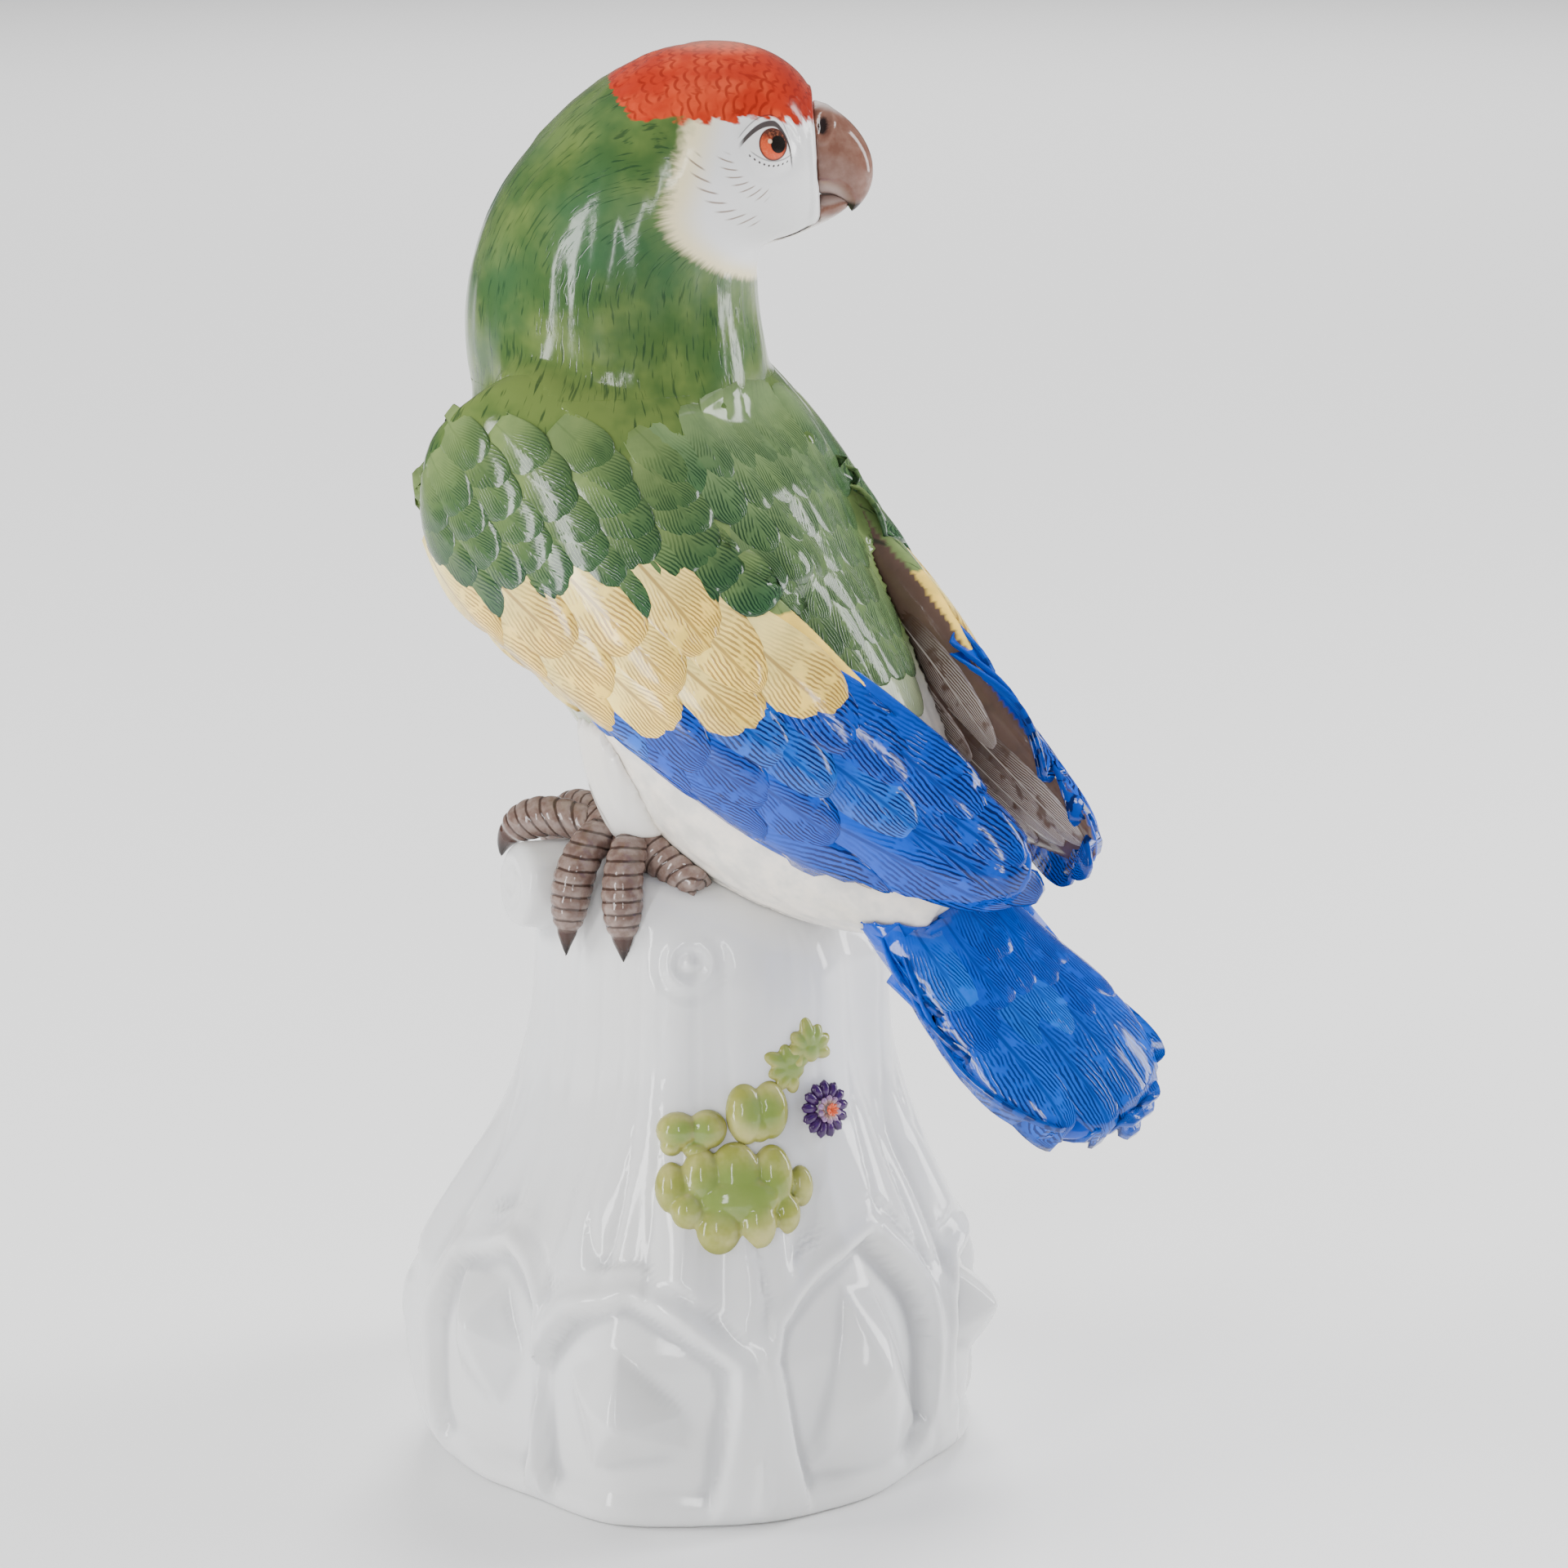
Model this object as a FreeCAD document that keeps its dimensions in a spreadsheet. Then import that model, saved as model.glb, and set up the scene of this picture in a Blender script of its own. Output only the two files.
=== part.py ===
import FreeCAD, Part

import math
import os

# Porcelain parrot perched on a tree stump, as the separate castings and hand-made pieces that a
# modeller lutes together with slip before firing. Millimetres, +Z up, the origin at the middle of
# the resting face. The show side of the figure faces -Y and the beak points along +X.
#
# The bird has a frame of its own: its +Y is the way its breast faces and its +X is its right side.
# The head has a third frame at the neck seam, turned about the vertical against the bird's.

V = FreeCAD.Vector
DOC = FreeCAD.newDocument("parrot_on_stump")
SHEET = DOC.addObject("Spreadsheet::Sheet", "dims")
NODES = []  # the finished sub-parts, whose Labels name their files
OVERSHOOT = 1.0  # how far a cutting shape runs past the face it opens

BIRD_FRAME = (
    "create(<<placement>>; create(<<vector>>; 0; 0; 0); create(<<rotation>>; dims.bird_yaw; 0; 0))"
)
HEAD_FRAME = (
    BIRD_FRAME
    + " * create(<<placement>>; create(<<vector>>; 0; dims.neck_fore; dims.neck_height);"
    + " create(<<rotation>>; dims.head_turn; 0; 0))"
)

# ---------------------------------------------------------------- driving dimensions
DIMENSIONS = [
    ("bird_yaw", 55, "turn of the bird about the vertical, from breast along +Y"),
    ("neck_fore", 21.5, "neck seam ahead of the perch axis, in the bird's frame"),
    ("neck_height", 247, "height of the neck seam"),
    ("neck_radius", 34, "radius of the neck seam"),
    ("collar_gap", 0.4, "gap round the neck seam, where the wings stop short of it"),
    ("collar_half", 10, "how far that gap runs above and below the seam"),
    ("head_turn", -145, "turn of the head against the body, over the bird's right shoulder"),
    ("wall", 4.5, "wall of the bird's slip-cast shells"),
    ("stump_wall", 5, "wall of the stump casting"),
    ("cavity_top", 128, "how high the stump's cavity runs"),
    ("plate_thick", 5, "thickness of the plate that closes the foot"),
    ("vent_radius", 4, "firing vents"),
    ("vent_x", 20, "vent in the plate, across"),
    ("vent_y", 14, "vent in the plate, in depth"),
    ("lead_x", 14, "vent from the body down into the stump, across"),
    ("lead_y", -10, "vent from the body down into the stump, in depth"),
    ("lead_low", 118, "lower end of that vent"),
    ("lead_high", 156, "upper end of that vent"),
    ("toe_radius", 4.4, "thickest part of a toe"),
    ("leaf_thick", 3.5, "how far an applied leaf stands off the bark"),
    ("flower_radius", 6.2, "outer ring of petals"),
    ("flower_inner", 4.2, "inner ring of petals"),
    ("flower_heart", 1.9, "button in the middle of the flower"),
    ("petal_layer", 1.8, "thickness of a ring of petals"),
    ("stub_root_radius", 11.5, "branch stub at the trunk"),
    ("stub_end_radius", 9.4, "branch stub at its sawn face"),
    ("stub_round", 3, "rounding of the sawn face's rim"),
]

# Castings that are alike left and right, as sections across their middle plane:
# (fore, height, lean of the section's axis from the vertical, lateral half, other half).
TORSO = [
    (21.5, 247, 0, 34, 34),
    (18, 229, 9, 40.5, 37.5),
    (7, 207, 24, 41.5, 40),
    (-10, 185.5, 38, 38, 36),
    (-27, 164.5, 46, 34, 34),
    (-44, 151, 52, 27, 26),
    (-60, 142, 56, 18, 16),
    (-69, 137, 56, 11, 8),
]
HEAD = [
    (0, 0, 0, 34, 34),
    (-1.4, 17.5, 4, 33, 32.6),
    (1.1, 30.5, 12.5, 32, 30.2),
    (8.1, 42, 29, 30, 26.9),
    (20.1, 50, 54, 28, 24.7),
    (33.8, 52, 75, 23, 21.4),
    (43.6, 48.5, 86, 15, 14.5),
]
LOWER_BEAK = [
    (30, 33, 90, 8, 5),
    (38, 35, 86, 7.2, 4.6),
    (45, 36.6, 84, 5.4, 3.2),
    (49.5, 37.8, 84, 3, 1.8),
]
LOWER_BEAK_TIP = (0, 52, 38.4)
# The upper beak's sections are taller than they are wide: (fore, height, lean, half height, half width).
UPPER_BEAK = [
    (36, 50.5, 85, 11.5, 10),
    (42.5, 50, 93, 10.5, 9),
    (48, 48, 108, 8.6, 7),
    (52, 44, 128, 6, 5),
    (53.2, 40, 140, 3.8, 3),
]
UPPER_BEAK_TIP = (0, 51.5, 35.6)

# Castings along a spine in the bird's frame: (x, y, z, wider half, narrower half).
# The right wing is the mirror image of the left one.
WING = [
    (-37, 33, 244, 11, 7),
    (-37, 25, 235, 24.5, 11),
    (-36.5, 11.5, 221, 28.5, 12),
    (-35.5, -4, 208, 26, 11.5),
    (-33.5, -20, 195, 23.5, 10.5),
    (-31, -35.5, 184, 22.5, 9),
    (-27, -51, 173, 20.5, 7),
    (-22, -67.5, 164, 17.5, 5),
    (-17.5, -84, 156.5, 12.5, 3.5),
    (-15, -92.5, 153, 8, 2.4),
]
WING_TIP = (-14, -97, 151)
WING_LEAN = 22  # how far the wing's upper edge leans in over the back, in degrees
TAIL = [
    (0, -48, 150, 15, 10),
    (0, -65, 134.5, 18, 9),
    (0, -82, 119.5, 21, 8),
    (0, -97, 108.5, 22.5, 7),
    (0, -107, 102, 18, 5),
]
TAIL_TIP = (0, -113.5, 99)
TAIL_LEAN = 70  # 90 would lie level; the left edge hangs lower
LEFT_THIGH = [
    (-17, 1, 176, 17, 16),
    (-19, 1, 164, 14.5, 13),
    (-21, 0, 154, 10.5, 9.5),
    (-22, -1, 148.5, 7, 6.5),
]
RIGHT_THIGH = [
    (18, -8, 170, 17, 16),
    (19, -9, 156, 14, 12.5),
    (20, -11, 145, 9.5, 8.5),
    (20, -12, 138.5, 7, 6.5),
]
# Feet and toes are round: (x, y, z, share of the toe's radius), which is nothing at a claw's point.
LEFT_FOOT = [
    (-22, -17, 139.5, 0.85),
    (-22, -9, 143, 1.2),
    (-22, 0, 146.5, 1.35),
    (-22, 9, 148, 1.3),
    (-22, 16, 147.5, 0.95),
]
RIGHT_FOOT = [
    (20, -24, 131, 0.85),
    (20, -18, 133, 1.2),
    (20, -10, 135.5, 1.35),
    (20, -2, 136, 1.3),
    (20, 5, 134.5, 0.95),
]
TOES = {
    "left_toe_outer_front": [
        (-23, 11, 148, 1.0),
        (-26, 19, 150, 0.95),
        (-28, 26.5, 149, 1.0),
        (-28.8, 31.5, 145.5, 0.75),
        (-29, 33.5, 142.5, 0.45),
        (-29, 34.5, 138.5, 0),
    ],
    "left_toe_inner_front": [
        (-20, 13, 148, 1.0),
        (-15, 21, 149, 0.95),
        (-11.5, 29, 146, 1.0),
        (-10, 34.5, 139.5, 0.7),
        (-10, 36.3, 135, 0.45),
        (-10, 36.8, 130, 0),
    ],
    "left_toe_outer_back": [
        (-24, 8, 147.5, 1.0),
        (-31, 7.5, 146.7, 0.95),
        (-36.5, 7.3, 142, 1.0),
        (-39, 7.5, 134, 0.9),
        (-39.8, 7.6, 128, 0.5),
        (-39.8, 7.8, 121.5, 0),
    ],
    "left_toe_inner_back": [
        (-24, 0, 146.5, 1.0),
        (-30, -2, 145.5, 0.95),
        (-34.5, -4, 140.5, 1.0),
        (-36.3, -5.3, 132.5, 0.9),
        (-36.6, -5.8, 127, 0.5),
        (-36.4, -6, 121, 0),
    ],
    "right_toe_outer_front": [
        (21, 1, 136.5, 1.0),
        (25, 10, 136.5, 0.95),
        (28, 18, 132.5, 1.0),
        (29.5, 22.5, 125, 0.7),
        (30, 23.5, 120, 0.45),
        (30, 23, 114.5, 0),
    ],
    "right_toe_inner_front": [
        (19, 1, 136.8, 1.0),
        (14, 11, 139, 0.95),
        (11.5, 21, 138, 1.0),
        (10.5, 28.5, 132, 0.75),
        (10.3, 31, 127, 0.45),
        (10.3, 32, 121.5, 0),
    ],
    "right_toe_outer_back": [
        (22, -9, 136, 1.0),
        (29, -13, 134, 0.95),
        (34, -16.5, 127.5, 1.0),
        (36, -18, 119.5, 0.85),
        (36.3, -18.5, 114, 0.5),
        (36, -18, 108, 0),
    ],
    "right_toe_inner_back": [
        (20.5, -17, 134.5, 1.0),
        (22, -26, 132, 0.95),
        (23.5, -32.5, 125, 1.0),
        (24, -35, 117, 0.85),
        (24, -35.3, 111.5, 0.5),
        (23.5, -35, 106, 0),
    ],
}
# The stump's sections: (height, mean radius, middle's x, depth of the bark's folds, fall per mm of x).
STUMP = [
    (0, 59.5, -1, 0.030, 0),
    (5, 62.8, -1, 0.035, 0),
    (20, 64.2, -1, 0.040, 0),
    (38, 63, -1, 0.045, 0),
    (56, 56, -0.5, 0.050, 0),
    (74, 47.5, 1.2, 0.050, 0),
    (92, 41.5, 2, 0.045, 0),
    (112, 39.5, 2.5, 0.040, 0.02),
    (127, 37.5, 1.5, 0.030, 0.08),
    (135.5, 32, 0, 0.020, 0.14),
    (139.5, 23, -1, 0.010, 0.17),
    (141, 12, -2, 0, 0.18),
]
STUMP_FOLDS = [(4, 0.7, 0), (7, 0.5, 0.6), (11, 0.3, 2)]  # waves round it: (count, share, phase)
STUB_ROOT = V(-14, -3, 133)
STUB_END = V(-42, -16, 136)
# Applied leaves: bearing from the stump's axis in degrees, height, half length, half width, lobes
# and turn of the leaf's tip from straight up.
LEAVES = {
    "leaf_large": (-81, 74, 13.2, 17.5, 7, 180),
    "leaf_small_left": (-92, 86.5, 6, 8, 5, 170),
    "leaf_small_right": (-72, 91, 7.5, 7.5, 5, 190),
    "leaf_upper": (-53, 104.5, 7.5, 5.5, 7, -8),
    "leaf_side": (-60, 101, 7, 6.5, 7, 60),
}
FLOWER_BEARING = -51
FLOWER_HEIGHT = 89
PETALS = 12


def put(alias, value, note=""):
    """One driving dimension: a plain number in the next row of the sheet, under its alias."""
    put.row += 1
    SHEET.set(f"A{put.row}", alias)
    SHEET.set(f"B{put.row}", str(value))
    SHEET.setAlias(f"B{put.row}", alias)
    SHEET.set(f"C{put.row}", note)


put.row = 0


def put_stations(prefix, keys, stations):
    """Puts a casting's stations in the sheet, as prefix_number_key."""
    for i, station in enumerate(stations):
        for key, value in zip(keys, station):
            put(f"{prefix}_{i}_{key}", value)


# ---------------------------------------------------------------- features
def apex(label, point):
    """The point that a loft runs out to."""
    put_stations(label, "xyz", [point])
    vertex = DOC.addObject("Part::Vertex", label)
    for axis in "xyz":
        vertex.setExpression(axis.upper(), f"dims.{label}_0_{axis}")
    return vertex


def loft(label, sections, frame=None):
    solid = DOC.addObject("Part::Loft", label)
    solid.Sections = sections
    solid.Solid = True
    if frame:
        solid.setExpression("Placement", frame)
    return solid


def middle_plane_sections(label, prefix, count, upright=False, less=""):
    """Ellipses square to the middle plane of a casting, at the stations that prefix names.
    upright sets their wider halves in the middle plane; less is taken off each half."""
    spin = 90 if upright else 0
    sections = []
    for i in range(count):
        at = f"dims.{prefix}_{i}"
        ellipse = DOC.addObject("Part::Ellipse", f"{label}_section_{i}")
        ellipse.setExpression("MajorRadius", f"{at}_wide{less}")
        ellipse.setExpression("MinorRadius", f"{at}_deep{less}")
        ellipse.setExpression(
            "Placement",
            f"create(<<placement>>; create(<<vector>>; 0; {at}_y; {at}_z);"
            f" create(<<rotation>>; 0; 0; -{at}_lean) * create(<<rotation>>; {spin}; 0; 0))",
        )
        sections.append(ellipse)
    return sections


def middle_plane_form(label, prefix, stations, frame, upright=False, tip=None):
    """The outer form of a casting that is alike on both sides of its middle plane."""
    put_stations(prefix, ("y", "z", "lean", "wide", "deep"), stations)
    sections = middle_plane_sections(label, prefix, len(stations), upright)
    if tip:
        sections.append(apex(f"{prefix}_tip", tip))
    return loft(label, sections, frame)


def square_to_spine(points, i, across, lean):
    """Turns a section square to the spine at point i. Its wider half lies along across where lean
    is 90, and square to across, towards the spine's upper side, where lean is 0."""
    along = (points[min(i + 1, len(points) - 1)] - points[max(i - 1, 0)]).normalize()
    side = (across - along * across.dot(along)).normalize()
    slant = math.radians(lean)
    wide = side * math.sin(slant) + along.cross(side) * math.cos(slant)
    return FreeCAD.Rotation(wide, along.cross(wide), along, "ZXY")


def spine_form(label, stations, tip, across=V(1, 0, 0), lean=90):
    """A form along a spine in the bird's frame, through its stations and out to its tip."""
    put_stations(label, ("x", "y", "z", "wide", "deep"), stations)
    points = [V(*station[:3]) for station in stations]
    if tip:
        points.append(V(*tip))
    sections = []
    for i in range(len(stations)):
        at = f"dims.{label}_{i}"
        ellipse = DOC.addObject("Part::Ellipse", f"{label}_section_{i}")
        ellipse.Placement.Rotation = square_to_spine(points, i, across, lean)
        for axis in "xyz":
            ellipse.setExpression(f"Placement.Base.{axis}", f"{at}_{axis}")
        ellipse.setExpression("MajorRadius", f"{at}_wide")
        ellipse.setExpression("MinorRadius", f"{at}_deep")
        sections.append(ellipse)
    if tip:
        sections.append(apex(f"{label}_tip", tip))
    return loft(f"{label}_form", sections, BIRD_FRAME)


def round_form(label, stations):
    """A foot or toe: round sections, whose last runs out to a point if its share is nothing."""
    radius = SHEET.get("toe_radius")
    points = [V(*station[:3]) for station in stations]
    middle = points[len(points) // 2]
    bend = (middle - points[0]).cross(points[-1] - middle)
    tip = stations[-1][:3] if stations[-1][3] == 0 else None
    ovals = [(x, y, z, share * radius, share * radius) for x, y, z, share in stations if share]
    return spine_form(label, ovals, tip, bend)


def cylinder(label, radius, height, x, y, z):
    """An upright cylinder, each size an expression."""
    rod = DOC.addObject("Part::Cylinder", label)
    rod.setExpression("Radius", radius)
    rod.setExpression("Height", height)
    for axis, place in zip("xyz", (x, y, z)):
        rod.setExpression(f"Placement.Base.{axis}", place)
    return rod


def common(label, *shapes):
    shared = DOC.addObject("Part::MultiCommon", label)
    shared.Shapes = list(shapes)
    return shared


def node(label, base, *tools):
    """The finished sub-part: base, cut back to where it meets each of the tools."""
    for i, tool in enumerate(tools):
        result = DOC.addObject("Part::Cut", f"{label}_{i}")
        result.Base = base
        result.Tool = tool
        result.Refine = False
        base = result
    base.Label = label
    NODES.append(base)


def own_form(label, shape, placement=None):
    """A form that no feature makes, such as one with a lobed outline."""
    form = DOC.addObject("Part::Feature", label)
    form.Shape = shape
    if placement:
        form.Placement = placement
    return form


def closed_curve(points):
    curve = Part.BSplineCurve()
    curve.interpolate(points, PeriodicFlag=True)
    return Part.Wire(curve.toShape())


# ---------------------------------------------------------------- stump

def stump_section(height, radius, middle, folds, fall):
    """One closed section of the stump: a round with the bark's folds as waves round it."""
    count = 30
    points = []
    for i in range(count):
        turn = 2 * math.pi * i / count
        wave = sum(share * math.cos(n * turn + phase) for n, share, phase in STUMP_FOLDS)
        reach = radius * (1 + folds * wave)
        x = middle + reach * math.cos(turn)
        points.append(V(x, reach * math.sin(turn), height - fall * x))
    return closed_curve(points)


def stump_loft(label, less, top, bottom):
    """The stump's form with less taken off its radii, up to the height top."""
    keys = ("z", "radius", "x", "folds", "fall")
    stations = [[SHEET.get(f"stump_{i}_{key}") for key in keys] for i in range(len(STUMP))]
    stations = [[s[0], s[1] - less, s[2], s[3], s[4]] for s in stations if s[0] <= top]
    stations[0][0] -= bottom
    return own_form(label, Part.makeLoft([stump_section(*s) for s in stations], True))


def make_stump():
    """The stump, the plate that closes it, and the branch stub. Returns the forms that cut others."""
    put_stations("stump", ("z", "radius", "x", "folds", "fall"), STUMP)
    DOC.recompute()
    form = stump_loft("stump_form", 0, math.inf, 0)
    cavity = stump_loft("stump_cavity", SHEET.get("stump_wall"), SHEET.get("cavity_top"), OVERSHOOT)
    lead = cylinder(
        "vent_lead", "dims.vent_radius", "dims.lead_high - dims.lead_low",
        "dims.lead_x", "dims.lead_y", "dims.lead_low",
    )
    node("stump", form, cavity, lead)

    slab = cylinder("plate_slab", "2 * dims.stump_0_radius", "dims.plate_thick", "0", "0", "0")
    vent = cylinder(
        "plate_vent", "dims.vent_radius", f"dims.plate_thick + {2 * OVERSHOOT}",
        "dims.vent_x", "dims.vent_y", f"-{OVERSHOOT}",
    )
    node("base_plate", common("plate_disc", cavity, slab), vent)

    limb = DOC.addObject("Part::Cone", "stub_limb")
    limb.setExpression("Radius1", "dims.stub_root_radius")
    limb.setExpression("Radius2", "dims.stub_end_radius")
    limb.Height = (STUB_END - STUB_ROOT).Length
    limb.Placement = FreeCAD.Placement(STUB_ROOT, FreeCAD.Rotation(V(0, 0, 1), STUB_END - STUB_ROOT))
    DOC.recompute()
    edges = limb.Shape.Edges
    rim = max(range(len(edges)), key=lambda i: STUB_ROOT.distanceToPoint(edges[i].CenterOfMass))
    stub = DOC.addObject("Part::Fillet", "stub_form")
    stub.Base = limb
    stub.Edges = [(rim + 1, SHEET.get("stub_round"), SHEET.get("stub_round"))]
    node("branch_stub", stub, form)
    return form, stub, lead


# ---------------------------------------------------------------- bird
def head_section(y, z, lean, wide, deep):
    """One oval of the head, square to its middle plane. It starts halfway between the side and the
    middle plane, because the ovals fan out too far for a loft to pair ovals that start elsewhere."""
    count = 12
    placement = FreeCAD.Placement(V(0, y, z), FreeCAD.Rotation(V(1, 0, 0), -lean))
    points = []
    for i in range(count):
        turn = math.pi / 4 + 2 * math.pi * i / count
        points.append(placement.multVec(V(wide * math.cos(turn), deep * math.sin(turn), 0)))
    return closed_curve(points)


def head_loft(label, less):
    """The head's form with less taken off each half of its ovals, on the neck seam."""
    keys = ("y", "z", "lean", "wide", "deep")
    stations = [[SHEET.get(f"head_{i}_{key}") for key in keys] for i in range(len(HEAD))]
    ovals = [head_section(y, z, lean, wide - less, deep - less) for y, z, lean, wide, deep in stations]
    form = own_form(label, Part.makeLoft(ovals, True))
    form.setExpression("Placement", HEAD_FRAME)
    return form


def make_bird(stump, stub, lead):
    torso = middle_plane_form("torso_form", "torso", TORSO, BIRD_FRAME)
    put_stations("head", ("y", "z", "lean", "wide", "deep"), HEAD)
    DOC.recompute()
    head = head_loft("head_form", 0)
    head_core = head_loft("head_core", SHEET.get("wall"))
    tail = spine_form("tail", TAIL, TAIL_TIP, lean=TAIL_LEAN)
    upper = middle_plane_form(
        "upper_beak_form", "upper_beak", UPPER_BEAK, HEAD_FRAME, upright=True, tip=UPPER_BEAK_TIP
    )
    lower = middle_plane_form("lower_beak_form", "lower_beak", LOWER_BEAK, HEAD_FRAME, tip=LOWER_BEAK_TIP)

    less = " - dims.wall"
    torso_core = loft(
        "torso_core", middle_plane_sections("torso_core", "torso", len(TORSO) - 1, less=less), BIRD_FRAME
    )
    node("torso", torso, torso_core, stump, lead)
    node("head", head, head_core)
    node("upper_beak", upper, head)
    node("lower_beak", lower, head, upper)
    node("tail", tail, torso, stump)

    collar = cylinder(
        "neck_collar",
        "dims.neck_radius + dims.collar_gap",
        "2 * dims.collar_half",
        "-dims.neck_fore * sin(dims.bird_yaw)",
        "dims.neck_fore * cos(dims.bird_yaw)",
        "dims.neck_height - dims.collar_half",
    )
    left_wing = spine_form("left_wing", WING, WING_TIP, lean=WING_LEAN)
    right_wing = DOC.addObject("Part::Mirroring", "right_wing_form")
    right_wing.Source = left_wing
    right_wing.setExpression("Normal.x", "cos(dims.bird_yaw)")
    right_wing.setExpression("Normal.y", "sin(dims.bird_yaw)")
    right_wing.Normal.z = 0
    node("left_wing", left_wing, collar, torso, tail)
    node("right_wing", right_wing, collar, torso, tail, left_wing)

    for side, thigh_stations, foot_stations in (
        ("left", LEFT_THIGH, LEFT_FOOT),
        ("right", RIGHT_THIGH, RIGHT_FOOT),
    ):
        thigh = spine_form(f"{side}_thigh", thigh_stations, None)
        foot = round_form(f"{side}_foot", foot_stations)
        node(f"{side}_thigh", thigh, torso, stump, left_wing, right_wing)
        node(f"{side}_foot", foot, thigh, torso, stump, stub)
        taken = [foot, thigh, stump, stub]
        for label, stations in TOES.items():
            if label.startswith(side):
                toe = round_form(label, stations)
                node(label, toe, *taken)
                taken.append(toe)


# ---------------------------------------------------------------- applied leaves and flower
def on_bark(stump, bearing, height):
    """Where a horizontal line from the axis leaves the stump, and a placement there whose +Z
    stands off the bark and whose +Y runs up it."""
    out = V(math.cos(math.radians(bearing)), math.sin(math.radians(bearing)), 0)
    reach = []
    step = 4
    for level in (height - step, height, height + step):
        line = Part.makeLine(V(0, 0, level), V(0, 0, level) + out * 200)
        reach.append(line.common(stump.Shape).BoundBox.DiagonalLength)
    rise = math.atan2(reach[0] - reach[2], 2 * step)
    away = out * math.cos(rise) + V(0, 0, math.sin(rise))
    up = V(0, 0, math.cos(rise)) - out * math.sin(rise)
    turn = FreeCAD.Rotation(up.cross(away), up, away, "ZYX")
    return FreeCAD.Placement(out * reach[1] + V(0, 0, height), turn)


def leaf_outline(half_long, half_wide, lobes):
    """A lobed leaf round the origin, its tip along +Y."""
    notch = 0.13
    count = 8 * lobes
    points = []
    for i in range(count):
        turn = 2 * math.pi * i / count
        reach = 1 + notch * math.cos(lobes * turn) - notch
        points.append(V(half_wide * reach * math.sin(turn), half_long * reach * math.cos(turn), 0))
    return closed_curve(points)


def petal_outline(radius):
    count = 6 * PETALS
    points = []
    for i in range(count):
        turn = 2 * math.pi * i / count
        reach = radius * (0.92 + 0.08 * math.cos(PETALS * turn))
        points.append(V(reach * math.cos(turn), reach * math.sin(turn), 0))
    return closed_curve(points)


def make_sprig(stump):
    """The leaves and the flower, each pressed onto the bark and cut back to it and to its neighbours."""
    sunk = 12  # how deep a pad starts under the bark, so that its back takes the bark's shape
    thick = SHEET.get("leaf_thick")
    taken = [stump]
    DOC.recompute()

    layer = SHEET.get("petal_layer")
    place = on_bark(stump, FLOWER_BEARING, FLOWER_HEIGHT)
    floor = thick - layer
    for label, key, low, high in (
        ("flower_outer", "flower_radius", -sunk, floor + layer),
        ("flower_inner", "flower_inner", floor + layer, floor + 2 * layer),
    ):
        face = Part.Face(petal_outline(SHEET.get(key)))
        face.translate(V(0, 0, low))
        form = own_form(f"{label}_form", face.extrude(V(0, 0, high - low)), place)
        node(label, form, *taken)
        taken.append(form)
    button = DOC.addObject("Part::Cylinder", "flower_heart_form")
    button.setExpression("Radius", "dims.flower_heart")
    button.setExpression("Height", "dims.petal_layer")
    button.Placement = place * FreeCAD.Placement(V(0, 0, floor + 2 * layer), FreeCAD.Rotation())
    node("flower_heart", button, *taken)

    for label, (bearing, height, half_long, half_wide, lobes, spin) in LEAVES.items():
        face = Part.Face(leaf_outline(half_long, half_wide, lobes))
        face.translate(V(0, 0, -sunk))
        place = on_bark(stump, bearing, height)
        turned = place * FreeCAD.Placement(V(0, 0, 0), FreeCAD.Rotation(V(0, 0, 1), spin))
        form = own_form(f"{label}_form", face.extrude(V(0, 0, sunk + thick)), turned)
        node(label, form, *taken)
        taken.append(form)


# ---------------------------------------------------------------- the whole
def check_and_export():
    """Stops unless every object recomputed and every sub-part is one sound solid, then writes them."""
    DOC.recompute()
    for obj in DOC.Objects:
        if "Invalid" in obj.State or "Error" in obj.State:
            raise RuntimeError(f"{obj.Label} did not recompute: {obj.State}")
    for part in NODES:
        if part.Shape.isNull() or not part.Shape.isValid() or len(part.Shape.Solids) != 1:
            raise RuntimeError(f"{part.Label} is not one sound solid: {len(part.Shape.Solids)}")
    os.makedirs("parts", exist_ok=True)
    for part in NODES:
        part.Shape.exportStep(f"parts/{part.Label}.step")
        print(f"{part.Label}: {part.Shape.Volume / 1000:.2f} cm3")


for dimension in DIMENSIONS:
    put(*dimension)
DOC.recompute()
stump_form, stub_form, vent_lead = make_stump()
make_bird(stump_form, stub_form, vent_lead)
make_sprig(stump_form)
check_and_export()
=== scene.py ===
import math
import random

import bmesh
import bpy
import numpy as np
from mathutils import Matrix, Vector, noise
from mathutils.bvhtree import BVHTree


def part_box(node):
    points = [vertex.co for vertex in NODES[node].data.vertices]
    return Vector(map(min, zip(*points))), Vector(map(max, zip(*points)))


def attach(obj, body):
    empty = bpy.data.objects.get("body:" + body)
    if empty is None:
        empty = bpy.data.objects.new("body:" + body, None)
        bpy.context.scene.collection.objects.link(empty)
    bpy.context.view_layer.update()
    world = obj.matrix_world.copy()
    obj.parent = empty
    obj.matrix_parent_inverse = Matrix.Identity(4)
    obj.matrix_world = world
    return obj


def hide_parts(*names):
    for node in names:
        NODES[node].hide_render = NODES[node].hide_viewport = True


# The looks of a glazed porcelain parrot on a tree stump. Metres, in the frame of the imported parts.
# Each casting gets a fine skin made from its CAD solid, and the modelled feathers are closed blades
# laid on that skin in rows. Paint is held in attributes of the meshes and finished in the shaders.

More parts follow.
